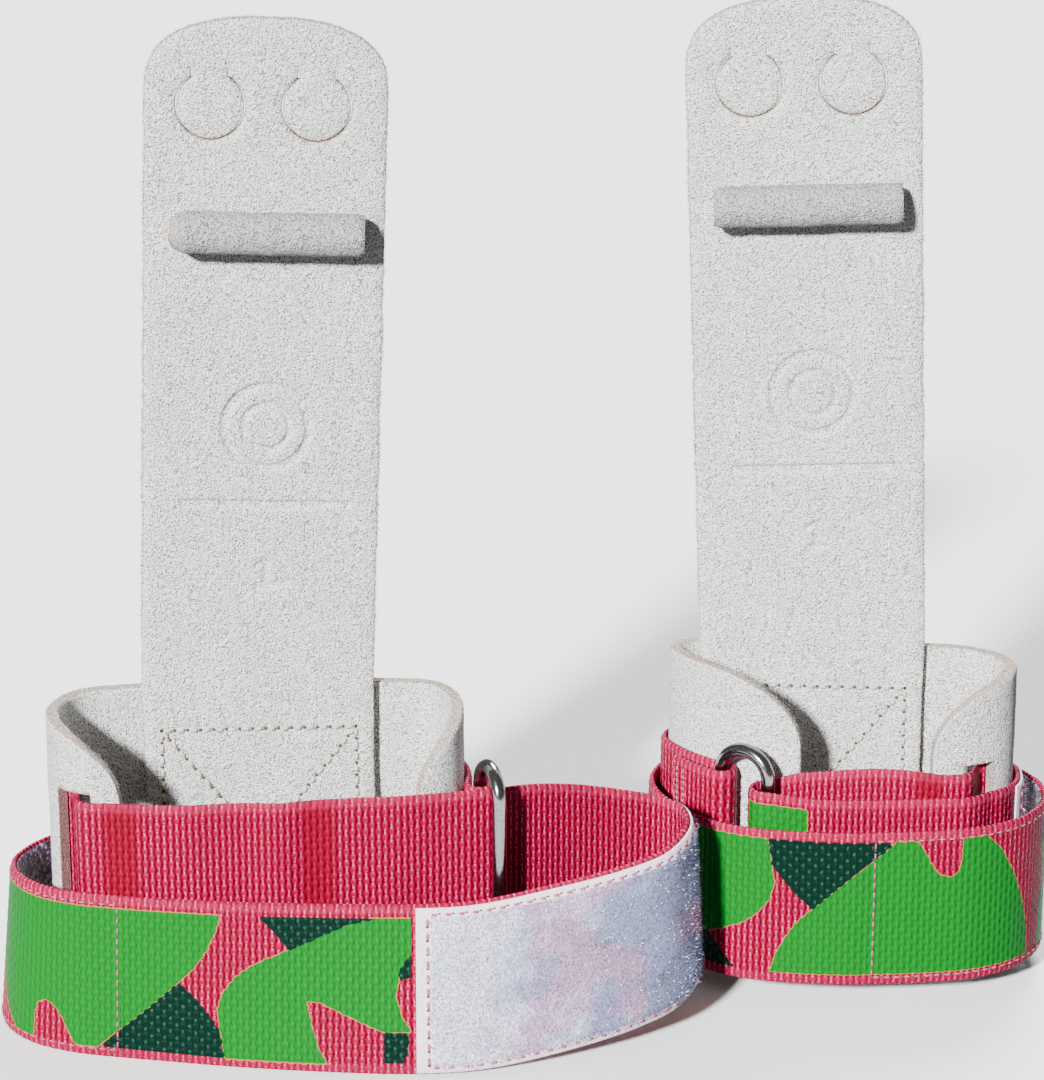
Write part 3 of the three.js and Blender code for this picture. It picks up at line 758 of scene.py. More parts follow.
def right_strap_points(grip):
    ring, free, z = grip.tab_leg, grip.free_leg, grip.web_floor
    return [
        (-31.4, -13.6, z - 1), (-27, -18.8, z - 1),
        *turn(ring, FOLD_RADIUS, 243, 423, z - 1),
        *along_cuff(grip, 1, grip.route.length - 20, 3, (-1, 0)),
        (20, -26.1, z + 1.5), (8, -24.9, z + 0.5), (-3, -23.9, z - 1),
        *turn(free, FOLD_RADIUS + 0.85, 90, 270, z - 3),
        (2, -30.8, z - 4.5), (12, -29.4, z - 5), (21, -28.4, z - 5),
        *along_cuff(grip, 2, 4, grip.route.length - 38, (-5, -10)),
        (-37.2, -5.6, z - 10.2), (-35.4, -12.6, z - 10.6), (-30.2, -21, z - 11),
        (-23, -28.6, z - 11), (-13, -33.2, z - 11), (0, -34.8, z - 11), (10, -34.8, z - 11),
        (14.7, -34.2, z - 11),
    ]


for each_grip, strap_points in ((LEFT, left_strap_points), (RIGHT, right_strap_points)):
    each_grip.route = Route(each_grip.cuff)
    each_grip.strap = Route(strap_points(each_grip))
    each_grip.tail_route = Route(each_grip.tail)


# ---- Flat leather ----
def distance_to(points, loops, uncut=None):
    """Distance from each 2-D point to the nearest segment of the closed loops.

    Segments that lie at the height `uncut` are left out."""
    best = np.full(len(points), np.inf)
    for loop in loops:
        loop = np.asarray(loop, float)
        for p, q in zip(loop, np.roll(loop, -1, axis=0)):
            if uncut is not None and abs(p[1] - uncut) + abs(q[1] - uncut) < 1e-6:
                continue
            edge = q - p
            share = np.clip(((points - p) @ edge) / max(edge @ edge, 1e-12), 0, 1)
            best = np.minimum(best, np.hypot(*(points - p - share[:, None] * edge).T))
    return best


def inside_of(points, loop):
    """Even-odd test of 2-D points against one closed loop."""
    a = np.asarray(loop, float)
    b = np.roll(a, -1, axis=0)
    x, y = points[:, :1], points[:, 1:]
    crosses = (a[:, 1] > y) != (b[:, 1] > y)
    with np.errstate(divide="ignore", invalid="ignore"):
        at = (b[:, 0] - a[:, 0]) * (y - a[:, 1]) / (b[:, 1] - a[:, 1]) + a[:, 0]
    return (crosses & (x < at)).sum(1) % 2 == 1


def signed_distance(points, loops):
    """Distance into the nearest of the closed loops, negative outside them all."""
    return np.max([np.where(inside_of(points, loop), 1, -1) * distance_to(points, [loop])
                   for loop in loops], axis=0)


def within(points, outer, holes):
    inside = inside_of(points, outer)
    for hole in holes:
        inside &= ~inside_of(points, hole)
    return inside


def refine(loop, step_length):
    """The loop with its long sides divided."""
    loop = np.asarray(loop, float)
    made = []
    for p, q in zip(loop, np.roll(loop, -1, axis=0)):
        count = max(1, math.ceil(np.linalg.norm(q - p) / step_length))
        made.extend(p + (q - p) * i / count for i in range(count))
    return np.array(made)


def inset(loop, distance):
    """A loop moved inwards; the loop runs anticlockwise."""
    tangent = unit(unit(np.roll(loop, -1, axis=0) - loop) + unit(loop - np.roll(loop, 1, axis=0)))
    return loop + stack(-tangent[:, 1], tangent[:, 0]) * distance


def triangulate(outer, holes, spacing, dense=()):
    """Triangles over an outline with holes. `dense` lists (left, bottom, right, top, spacing)."""
    loops = [outer, *holes]
    seeds = []
    for left, bottom, right, top, pitch in [(*np.min(outer, 0), *np.max(outer, 0), spacing), *dense]:
        grid = np.stack(np.meshgrid(np.arange(left, right, pitch),
                                    np.arange(bottom, top, pitch * 0.866)), -1)
        grid[1::2, :, 0] += pitch / 2
        grid = grid.reshape(-1, 2)
        if pitch == spacing:
            for *corner, right, top, _ in dense:
                crowded = (grid > np.array(corner) - 0.3) & (grid < np.array((right, top)) + 0.3)
                grid = grid[~crowded.all(1)]
        seeds.append(grid)
    for loop, sign in [(outer, 1), *((hole, -1) for hole in holes)]:
        for depth in (0.22, 0.6):
            seeds.append(inset(loop, depth * sign))
    seeds = np.vstack(seeds)
    keep = within(seeds, outer, holes) & (distance_to(seeds, loops) > 0.18)
    vertices = np.vstack([*loops, seeds[keep]])
    edges, start = [], 0
    for loop in loops:
        edges += [(start + i, start + (i + 1) % len(loop)) for i in range(len(loop))]
        start += len(loop)
    points, _, faces, *_ = delaunay_2d_cdt([Vector(v) for v in vertices], edges, [], 0, 1e-5)
    points = np.array([tuple(p) for p in points])
    faces = np.array(faces)
    return points, faces[within(points[faces].mean(1), outer, holes)]


def leather_plate(outer, holes, spacing, thickness, dense=(), relief=None, joint_line=None):
    """A leather plate in X and Z with eased edges.

    `relief(points)` gives how far the face at y = 0 is pressed in. Nothing is eased along
    `joint_line`, a height at which the plate meets another without a cut."""
    flat, faces = triangulate(outer, holes, spacing, dense)
    away = distance_to(flat, [outer, *holes], joint_line)
    ease = EDGE_ROUND * eased(away, 0.75) ** 2
    front = ease + EDGE_ROUND * smooth(-away, -2.4, 0) + (relief(flat) if relief else 0)
    points = np.vstack([stack(flat[:, 0], y, flat[:, 1]) for y in (front, thickness - ease)])
    corners = flat[faces]
    area = np.cross(corners[:, 1] - corners[:, 0], corners[:, 2] - corners[:, 0])
    faces[area < 0] = faces[area < 0][:, ::-1]
    half_edges = {tuple(e) for e in np.concatenate([faces[:, [0, 1]], faces[:, [1, 2]],
                                                    faces[:, [2, 0]]]).tolist()}
    count = len(flat)
    sides = [(a, a + count, b + count, b) for a, b in half_edges if (b, a) not in half_edges]
    return (points, faces.tolist() + (faces + count)[:, ::-1].tolist() + sides,
            np.tile(eased(away, 0.35), 2))


def crumple(grip, points):
    """The leather's own waviness, which runs on from a palm into the flaps cut from it."""
    for size, seed, pitch in ((0.22, grip.palm_seed, 17), (0.09, 5, 5)):
        points[:, 1] += rough(points * (1, 0.3, 1), size, seed, pitch)


def palm_loop():
    """The palm's outline: small lower corners and a superellipse at the finger end."""
    half = PALM_WIDTH / 2
    inner, low = half - PALM_CORNER, PALM_BOTTOM + PALM_CORNER
    loop = arc((-inner, low), PALM_CORNER, 180, 270, 6) + arc((inner, low), PALM_CORNER, 270, 360, 6)
    power = 2 / CROWN_ROUNDNESS
    for angle in np.linspace(0, math.pi, 61):
        x = half * math.copysign(abs(math.cos(angle)) ** power, math.cos(angle))
        loop.append((x, PALM_TOP - PALM_CROWN + PALM_CROWN * math.sin(angle) ** power))
    loop = refine(loop, 0.8)
    in_plane = in_space(loop)
    ragged = rough(in_plane, 0.16, 17, 1.3) + rough(in_plane, 0.2, 18, 11)
    return inset(loop, ragged[:, None])


def flap_loop(x, slack):
    """The round flap with its neck; `slack` widens it to the hole that it fills."""
    radius = HOLE_RADIUS + slack
    neck = NECK_WIDTH / 2 + slack
    start = math.degrees(math.acos(neck / radius))
    loop = [(x + neck, HOLE_HEIGHT + NECK_RISE), (x - neck, HOLE_HEIGHT + NECK_RISE)]
    return refine(loop + arc((x, HOLE_HEIGHT), radius, 180 - start, 360 + start, 40), 0.5)


MARKED = (-19, 98, 21.5, 149, 0.42)   # the part of the palm that needs a fine mesh for its marks
MARK_DEPTH = 0.8
GROOVE_DEPTH = 0.16              # of the leather drawn in along the box seam


def numeral_loops(x, z):
    """A plain size number 1, with its middle at (x, z)."""
    top, foot_top, foot = z + 3.6, z - 2.2, z - 3.6
    return [[(x - 0.8, foot), (x + 0.8, foot), (x + 0.8, top), (x - 0.8, top)],
            [(x - 2.3, foot), (x + 2.3, foot), (x + 2.3, foot_top), (x - 2.3, foot_top)],
            [(x - 0.4, top), (x - 2.8, z + 2.0), (x - 2.2, z + 0.9), (x - 0.4, z + 2.0)]]


def pressed_marks(flat):
    """How far the suede is pressed in: by a plain ring, a line, the size number and the seam."""
    ring_height, line_height, middle = 138, 120, 1.2
    x, z = flat[:, 0] - middle, flat[:, 1]
    from_ring_middle = np.hypot(x, z - ring_height)
    shapes = [half_width - np.abs(from_ring_middle - radius) for half_width, radius in
              ((0.9, 9.5), (0.7, 5.2))]
    shapes += [np.minimum(19 - np.abs(x), 0.8 - np.abs(z - line_height)),
               signed_distance(flat, numeral_loops(1.5, 103.5))]
    groove = smooth(-distance_to(flat, box_seam_lines()), -0.9, -0.1)
    return MARK_DEPTH * smooth(np.max(shapes, axis=0), -0.3, 0.3) + GROOVE_DEPTH * groove


def build_palm(grip):
    """Palm and heel: one sheet that bends just above the cuff."""
    outline = palm_loop()
    holes = [flap_loop(HOLE_SHIFT + side * HOLE_SPACING / 2, CUT_GAP) for side in (-1, 1)]
    points, faces, edge = leather_plate(outline, holes, 1.05, PALM_THICKNESS, [MARKED], pressed_marks,
                                        HOLE_HEIGHT + NECK_RISE)
    crumple(grip, points)
    palm = make_part(grip, "palm", points, faces, SUEDE, "suede", None,
                     ("palm_leather", "palm_heel"), grip.place_palm, angle=50, edge=edge)
    blend_bodies(grip, palm, (0, PALM_THICKNESS / 2, FLEX_HEIGHT - FLEX_BELOW),
                 (0, PALM_THICKNESS / 2, FLEX_HEIGHT + FLEX_ABOVE))
    raised = outline[outline[:, 1] > FLEX_HEIGHT + 10]
    turn_in = np.argmax(np.linalg.norm(np.diff(raised, axis=0), axis=1)) + 1
    raised = np.roll(raised, -turn_in, axis=0)
    run = np.gradient(raised, axis=0)
    through = np.tile([0, PALM_THICKNESS - 0.4, 0], (len(run), 1))
    suede_fuzz(grip, "palm_fuzz", [(stack(raised[:, 0], 0.2, raised[:, 1]),
                                    stack(run[:, 1], 0.0, -run[:, 0]), through)],
               "palm", 9, 51, grip.place_leaning)


def build_flap(grip, side, sign):
    """The round of leather that fills a finger hole, with its neck."""
    x = HOLE_SHIFT + sign * HOLE_SPACING / 2
    top = HOLE_HEIGHT + NECK_RISE
    points, faces, edge = leather_plate(flap_loop(x, -CUT_GAP), [], 0.8, PALM_THICKNESS,
                                        joint_line=top)
    crumple(grip, points)
    flap = make_part(grip, f"flap_{side}_suede", points, faces, SUEDE, "suede", None,
                     (f"finger_flap_{side}",), grip.place_leaning, angle=50, edge=edge)
    blend_bodies(grip, flap, (x, PALM_THICKNESS / 2, top),
                 (x, PALM_THICKNESS / 2, top - 3), grip.place_leaning)


# ---- Box-X seam ----
def box_seam_lines():
    half = BOX_WIDTH / 2
    corners = [(-half, BOX_TOP), (half, BOX_TOP), (half, BOX_BOTTOM), (-half, BOX_BOTTOM)]
    return [*zip(corners, corners[1:] + corners[:1]), (corners[0], corners[2]),
            (corners[1], corners[3])]


def build_box_seam(grip):
    shapes = Shapes()
    for p, q in box_seam_lines():
        shapes.row((p[0], -0.16, p[1]), (q[0], -0.16, q[1]), round(math.dist(p, q) / 3), 0.2,
                   (0, -1, 0), 0.5, 0.44, -0.14)
    shapes.build(grip, "box_seam", PALE_THREAD, "thread", "grip", ("box_stitching",))


# ---- Dowel ----
def build_dowel(grip):
    """The suede rolled round the dowel, with its tail through the palm and its ends sunk in."""
    axis_y = -SLEEVE_RADIUS - GAP
    columns, around = 64, 56
    count = around + 2
    xs = np.linspace(-DOWEL_LENGTH / 2, DOWEL_LENGTH / 2, columns) + DOWEL_SHIFT
    neck = math.asin(SLEEVE_NECK / SLEEVE_RADIUS)
    angles = np.linspace(neck, 2 * math.pi - neck, around)
    index = np.arange(columns)
    ease = (0.5 * eased(np.minimum(index, index[::-1]), 2) ** 2
            + grip.worn_end * eased(index, 5) ** 1.4)
    radius = (SLEEVE_RADIUS - ease)[:, None]
    tail = PALM_THICKNESS + 0.1
    rolled = stack(xs[:, None], axis_y + radius * np.cos(angles), radius * np.sin(angles))
    rolled = rolled.reshape(-1, 3)
    lump = rough(rolled, 0.2, grip.dowel_seed, 6) + rough(rolled, 0.1, 13, 1.6)
    rolled += unit((rolled - (0, axis_y, 0)) * (0, 1, 1)) * lump[:, None]
    rings = np.concatenate([stack(xs, tail, SLEEVE_NECK)[:, None],
                            rolled.reshape(columns, around, 3),
                            stack(xs, tail, -SLEEVE_NECK)[:, None]], axis=1)
    points = [rings.reshape(-1, 3)]
    faces = grid_faces(columns, count).tolist()
    faces += [[i * count, (i + 1) * count - 1, (i + 2) * count - 1, (i + 1) * count]
              for i in range(columns - 1)]
    edge = [np.repeat(0.36 * grip.worn_end * eased(index, 4), count)]
    start = columns * count
    frayed = []
    for column, sign in ((0, -1), (columns - 1, 1)):
        base = column * count
        rim = rings[column, 1:-1]
        centre = np.array([rim[0, 0], axis_y, 0.0])
        before = base + 1
        for turn_number, (share, sink) in enumerate(((0.8, 0.15), (0.55, 0.55), (0.3, 0.5),
                                                     (0.08, 0.55))):
            ring = centre + (rim - centre) * share
            ring[:, 0] -= sign * (sink + 0.25 * np.cos(np.arange(around) * 1.9 + turn_number))
            points.append(ring)
            edge.append(np.full(around, 0.5 if turn_number else 0.75))
            strip = [[before + k, before + (k + 1) % around, start + (k + 1) % around, start + k]
                     for k in range(around)]
            faces += [face[::sign] for face in strip]
            before, start = start, start + around
        faces.append(list(range(before, start))[::sign])
        faces.append([base, base + 1, base + around, base + count - 1][::-sign])
        frayed.append((rim + (0, 0, DOWEL_HEIGHT),
                       (rim - (0, axis_y, 0)) * (0, 1, 1) + (sign * 3.0, 0, 0),
                       np.tile([-sign * 1.2, 0, 0], (around, 1))))
    make_part(grip, "dowel_suede", np.vstack(points) + (0, 0, DOWEL_HEIGHT), faces, SHADED_SLEEVE_SUEDE,
              "suede", "palm", ("dowel_sleeve", "dowel_core"), grip.place_leaning,
              edge=np.concatenate(edge))
    suede_fuzz(grip, "dowel_fuzz", frayed, "palm", 12, 53, grip.place_leaning, SHADED_SLEEVE_SUEDE)


def build_dowel_patch(grip):
    """The sewn patch behind the palm that holds the sleeve, with its four rows of stitches."""
    left, right = (DOWEL_SHIFT + side * DOWEL_LENGTH / 2 for side in (-1, 1))
    low, high = -SLEEVE_TAIL, SLEEVE_TAIL
    loop = refine([(left, low), (right, low), (right, high), (left, high)], 0.9)
    points, faces, edge = leather_plate(loop, [], 1.2, PATCH_THICKNESS)
    points[:, 1] = (PALM_THICKNESS + GAP + PATCH_THICKNESS - points[:, 1]
                    + rough(points, 0.1, 21, 5) - 0.1)
    make_part(grip, "dowel_patch", points + (0, 0, DOWEL_HEIGHT), [face[::-1] for face in faces],
              SUEDE, "suede", "palm", place=grip.place_leaning, angle=50, edge=edge)
    shapes = Shapes()
    face_y = PALM_THICKNESS + GAP + 1.33
    for z in (low + 1.4, -3.2, 3.2, high - 1.4):
        shapes.row((left + 1.6, face_y, DOWEL_HEIGHT + z), (right - 1.6, face_y, DOWEL_HEIGHT + z),
                   14, 0.1, (0, 1, 0), 0.32, 0.32, 0.05)
    shapes.build(grip, "dowel_seam", PALE_THREAD, "thread", "palm", ("dowel_stitching",),
                 grip.place_leaning)


# ---- Cuff ----
def slot_frame(grip, distance):
    """Axes in the middle of a slot: X along the strap, Y through the leather."""
    point, normal = on_cuff(grip, distance)
    centre = Vector((*point[:2], grip.web_floor + WEB_WIDTH / 2))
    return Matrix.Translation(centre) @ Matrix.Rotation(math.atan2(-normal[0], normal[1]), 4, "Z")


def punch_slots(grip, points, faces):
    """The cuff's sheet with both slots cut through it."""
    mesh = bpy.data.meshes.new("cuff_sheet")
    mesh.from_pydata(points.tolist(), [], faces.tolist())
    sheet = link("cuff_sheet", mesh)
    punches = []
    for distance in (FRONT_SLOT, REAR_SLOT):
        corners = [slot_frame(grip, distance) @ Vector((x * SLOT_LENGTH / 2, y * 6,
                                                        z * SLOT_HEIGHT / 2))
                   for x in (-1, 1) for y in (-1, 1) for z in (-1, 1)]
        block = bpy.data.meshes.new("punch")
        block.from_pydata(corners, [], [(0, 1, 3, 2), (4, 6, 7, 5), (0, 4, 5, 1), (2, 3, 7, 6),
                                        (0, 2, 6, 4), (1, 5, 7, 3)])
        punches.append(link("punch", block))
        modifier = sheet.modifiers.new("slot", "BOOLEAN")
        modifier.operation = "DIFFERENCE"
        modifier.solver = "EXACT"
        modifier.object = punches[-1]
    cut = sheet.evaluated_get(bpy.context.evaluated_depsgraph_get()).to_mesh()
    cut_points = np.array([tuple(vertex.co) for vertex in cut.vertices])
    cut_faces = [tuple(polygon.vertices) for polygon in cut.polygons]
    for extra in [*punches, sheet]:
        bpy.data.objects.remove(extra)
    return cut_points, cut_faces


def build_cuff(grip):
    """The wrist band: a curled sheet with rounded wings, two slots and fuzzy cut edges."""
    length = grip.route.length
    ends = np.array([0, 0.2, 0.5, 0.9, 1.5, 2.2])
    along = np.concatenate([ends, np.linspace(3, length - 3, round(length - 6)),
                            length - ends[::-1]])
    shares = np.concatenate([[0, 0.003, 0.008, 0.015], np.linspace(0.028, 0.972, 52),
                             [0.985, 0.992, 0.997, 1]])
    point, normal = grip.route.at(along)
    normal = in_space(normal)
    to_end = np.minimum(along, length - along)
    low = WING_DROP * (1 - np.sqrt(1 - eased(to_end, WING_ROUND) ** 2))
    high = CUFF_HEIGHT - low
    z = low[:, None] + (high - low)[:, None] * shares
    rim = np.minimum(np.minimum(z - low[:, None], high[:, None] - z), to_end[:, None])
    half = CUFF_THICKNESS / 2 - 0.36 * eased(rim, 0.8) ** 2
    surfaces = []
    for sign, seed in ((1, 31), (-1, 32)):
        surface = stack(*(point[:, i:i + 1] + normal[:, i:i + 1] * sign * half for i in (0, 1)), z)
        surface = surface.reshape(-1, 3)
        wave = rough(surface, 0.12, seed + grip.cuff_seed, 7) * smooth(rim.reshape(-1), 0, 1.5)
        surfaces.append(surface + np.repeat(normal, len(shares), axis=0) * wave[:, None])
    points = np.vstack(surfaces)
    cut_points, cut_faces = punch_slots(grip, points, slab_faces(*z.shape))

    tree = KDTree(len(points))
    for index, spot in enumerate(points):
        tree.insert(spot, index)
    tree.balance()
    rim_edge = np.tile(eased(rim.reshape(-1), 0.3), 2)
    found = [tree.find(spot)[1:] for spot in cut_points]
    edge = np.array([rim_edge[index] if away < 0.01 else 0.0 for index, away in found])
    for distance in (FRONT_SLOT, REAR_SLOT):
        back = np.array(slot_frame(grip, distance).inverted())
        local = np.abs(cut_points @ back[:3, :3].T + back[:3, 3])
        beyond = np.maximum(local[:, 0] - SLOT_LENGTH / 2, local[:, 2] - SLOT_HEIGHT / 2)
        edge = np.maximum(edge, (beyond < 0.06) & (local[:, 1] < 8))
    make_part(grip, "cuff_suede", cut_points, cut_faces, SUEDE, "suede", "grip", ("wrist_cuff",),
              angle=50, edge=edge)
    inner = point - normal * (CUFF_THICKNESS / 2 - 0.2)
    rims = []
    for height, sign in ((high, 1), (low, -1)):
        spots = stack(inner[:, 0], inner[:, 1], height)
        rims.append((spots, np.cross(normal, np.gradient(spots, axis=0)) * -sign,
                     normal * (CUFF_THICKNESS - 0.4)))
    suede_fuzz(grip, "cuff_fuzz", rims, "grip", 7, 52)


# ---- Ring ----
def build_ring(grip):
    """A wire ring with two straight upright legs, from the strap's tab leg to its free leg."""
    reach = unit(np.subtract(grip.free_leg, grip.tab_leg))
    half_leg, radius = RING_LEG / 2, RING_WIDTH / 2
    rise = np.linspace(half_leg, -half_leg, 14)[1:-1]
    path = np.array([*arc((radius, half_leg), radius, 180, 0, 25), *((2 * radius, y) for y in rise),
                     *arc((radius, -half_leg), radius, 0, -180, 25), *((0, -y) for y in rise)])
    tangent = unit(np.roll(path, -1, axis=0) - np.roll(path, 1, axis=0))
    sides = 24
    out, side = WIRE_RADIUS * circle(sides)
    flat = path[:, :1] - tangent[:, 1:] * out
    middle = grip.web_floor + WEB_WIDTH / 2 - grip.ring_drop
    points = stack(grip.tab_leg[0] + reach[0] * flat - reach[1] * side,
                   grip.tab_leg[1] + reach[1] * flat + reach[0] * side,
                   middle + path[:, 1:] + tangent[:, :1] * out)
    make_part(grip, "steel_ring", points.reshape(-1, 3), tube_faces(len(path), sides, True), STEEL,
              "steel", "ring", ("strap_ring",))


# ---- Webbing ----
def strap_wave(grip, distance):
    """How far the slack front of the strap stands off its route, away from the wrist."""
    return -sum(size * np.exp(-((distance - grip.strap.nearest(*spot, *grip.front)) / reach) ** 2)
                for spot, size, reach in grip.waves)


def make_band(grip, name, route, distances, heights, inner, outer, lean, material, slot, body,
              node, wave=0.0, along=None, **floats):
    """A closed band along a route, from `inner` to `outer` millimetres off it.

    Its UVs are `along` (the distances, if not given) and the heights, in metres. The floats are
    grids of distances by heights, or spread to them."""
    point, normal = route.at(distances)
    tilt = lean(distances)[:, None] * (0.5 - heights / WEB_WIDTH)
    tilt = tilt + np.broadcast_to(wave, distances.shape)[:, None]
    surfaces = [stack(*(point[:, i:i + 1] + normal[:, i:i + 1] * (tilt + offset) for i in (0, 1)),
                      point[:, 2:] + heights) for offset in (outer, inner)]
    along = distances if along is None else along
    uv = stack(along[:, None], heights).reshape(-1, 2) * MM
    spread = {key: np.broadcast_to(values, (2, *tilt.shape)) for key, values in floats.items()}
    return make_part(grip, name, np.reshape(surfaces, (-1, 3)),
                     slab_faces(*tilt.shape, np.mean(outer - inner) < 0), material, slot, body,
                     (node,), uv=np.tile(uv, (2, 1)), **spread)


def strap_lean(grip):
    """How far a strap's upper edge stands out beyond its lower one, along its length."""
    length = grip.strap.length
    return lambda distance: grip.outward * (
        grip.loop_lean * smooth(distance / length, 0.62, 0.8)
        - (grip.loop_lean - grip.tail_lean) * smooth(distance / length, 0.85, 1))


def tail_lean(grip):
    return lambda distance: grip.outward * grip.tail_lean * np.ones_like(distance, float)


def weave_height(along, height):
    """How far the woven surface stands proud, in millimetres, at places along and across it."""
    rib = np.cos(2 * math.pi * along / RIB)
    checker = np.cos(math.pi * along / RIB) * np.cos(math.pi * height / YARN)
    return 0.045 * rib - 0.06 * checker


def webbing_mesh(grip, name, node, route, lean, print_start, body):
    """A stretch of woven webbing. `print_start` is the print's own distance at its beginning."""
    distances = np.linspace(0, route.length, max(8, round(route.length / (RIB / 4))) + 1)
    heights = np.linspace(0, WEB_WIDTH, round(WEB_WIDTH / (YARN / 2)) + 1)
    along = print_start + distances
    rim = np.minimum(heights, WEB_WIDTH - heights)
    thin = 0.09 + 0.42 * eased(rim, 1.2) ** 2
    proud = grip.outward * (WEB_THICKNESS / 2 + weave_height(along[:, None], heights) - thin)
    green, dark = print_distances(grip, *np.meshgrid(along, heights, indexing="ij"))
    # Stretches of painted shade along the strap, round the grip's listed spots.
    shade_spots = np.zeros(len(along))
    for spot, reach in grip.shade_spots if body else ():
        middle = grip.strap.nearest(*spot, *grip.front)
        shade_spots = np.maximum(shade_spots, 1 - smooth(np.abs(distances - middle), reach / 2, reach))
    return make_band(grip, name, route, distances, heights, -proud, proud, lean, WEBBING,
                     "webbing", body, node, strap_wave(grip, distances) if body else 0.0, along,
                     printed=np.array([1.0, 0.0])[:, None, None], green_ink=green, dark_ink=dark,
                     plain=0.85 * shade_spots[:, None], selvedge=0.75 * (1 - smooth(rim, 1.7, 2.5)))


# The print, in millimetres: along the strap from the seam where the tail begins (backwards is
# negative, along the tail positive) and up from its lower edge. It repeats along the strap.
PRINT_REPEAT = 112
PRINT_END = 46
PRINT_TOP = 35.3
GREEN_SHAPES = [
    [(-23, 35.3), (-22, 31.5), (-20, 27), (-17, 22.5), (-13.5, 19), (-8, 13.8), (-4, 10.2),
     (0, 7), (3, 4.4), (5.5, 2.2), (10.5, 2.2), (12, 4.6), (13.6, 7.8), (15.6, 10.6), (18, 11.6),
     (20, 10.6), (21, 8), (21.2, 2), (27, 2), (31, 6), (35, 13), (38, 20), (40, 27), (41, 35.3)],
    [(-24, 2), (-23, 8.3), (-22.4, 13), (-23.4, 17), (-26.5, 21), (-30, 23.8), (-36, 26.6),
     (-42, 29.4), (-51.5, 33.8), (-57, 35.3), (-68, 35.3), (-69, 29), (-65.5, 26.5),
     (-63.4, 22.5), (-62.6, 17.5), (-64, 13), (-66, 9.6), (-60, 9.5), (-52, 13), (-45.5, 16),
     (-42.5, 16.2), (-43.8, 10.5), (-45.5, 5), (-47.3, 2)],
]
DARK_SHAPES = [
    [(-13.5, 19), (-17.5, 15.5), (-20.5, 11.8), (-23, 8.3), (-24, 2), (5, 2.4), (3, 4.4), (0, 7),
     (-4, 10.2), (-8, 13.8)],
    [(-31.5, 35.3), (-59, 35.3), (-51.5, 33.6), (-42, 29.2), (-38.5, 27.5), (-35.8, 31)],
    [(-68, 28.5), (-65.2, 26.4), (-63.2, 23), (-63.4, 21.2), (-67, 22.2), (-70, 24)],
    [(-60, 9.5), (-65.6, 9.5), (-65.4, 5.5), (-64.3, 2.6), (-60, 2.6)],
]


def print_distances(grip, along, height):
    """Signed distances into the green and the dark inks, positive inside."""
    if grip is RIGHT:
        height = WEB_WIDTH - height
    wrapped = (along + PRINT_REPEAT - PRINT_END) % PRINT_REPEAT - PRINT_REPEAT + PRINT_END
    spots = stack(wrapped, height).reshape(-1, 2)
    green, dark = (signed_distance(spots, loops).reshape(along.shape)
                   for loops in (GREEN_SHAPES, DARK_SHAPES))
    for start, end in grip.unprinted:
        outside = np.maximum(start - along, along - end)
        green, dark = np.minimum(green, outside), np.minimum(dark, outside)
    for start, end in grip.green_stretch:
        inside = np.minimum(along - start, end - along)
        green = np.maximum(green, np.minimum(inside, np.minimum(height - 2.6, PRINT_TOP - height)))
    return green, dark


def build_strap(grip):
    webbing_mesh(grip, "webbing", "strap", grip.strap, strap_lean(grip), -grip.strap.length, "grip")
    tail = webbing_mesh(grip, "webbing_tail", "strap_tail", grip.tail_route, tail_lean(grip), 0.0,
                        None)
    blend_with_tail(grip, tail)


def blend_with_tail(grip, piece):
    """Passes a piece of the tail to blend_bodies with the stretch from the strap to just past the
    hinge; the piece is not bent.
    """
    start, end = (grip.tail_route.at(distance)[0] for distance in (0.0, 5.0))
    blend_bodies(grip, piece, start, end)


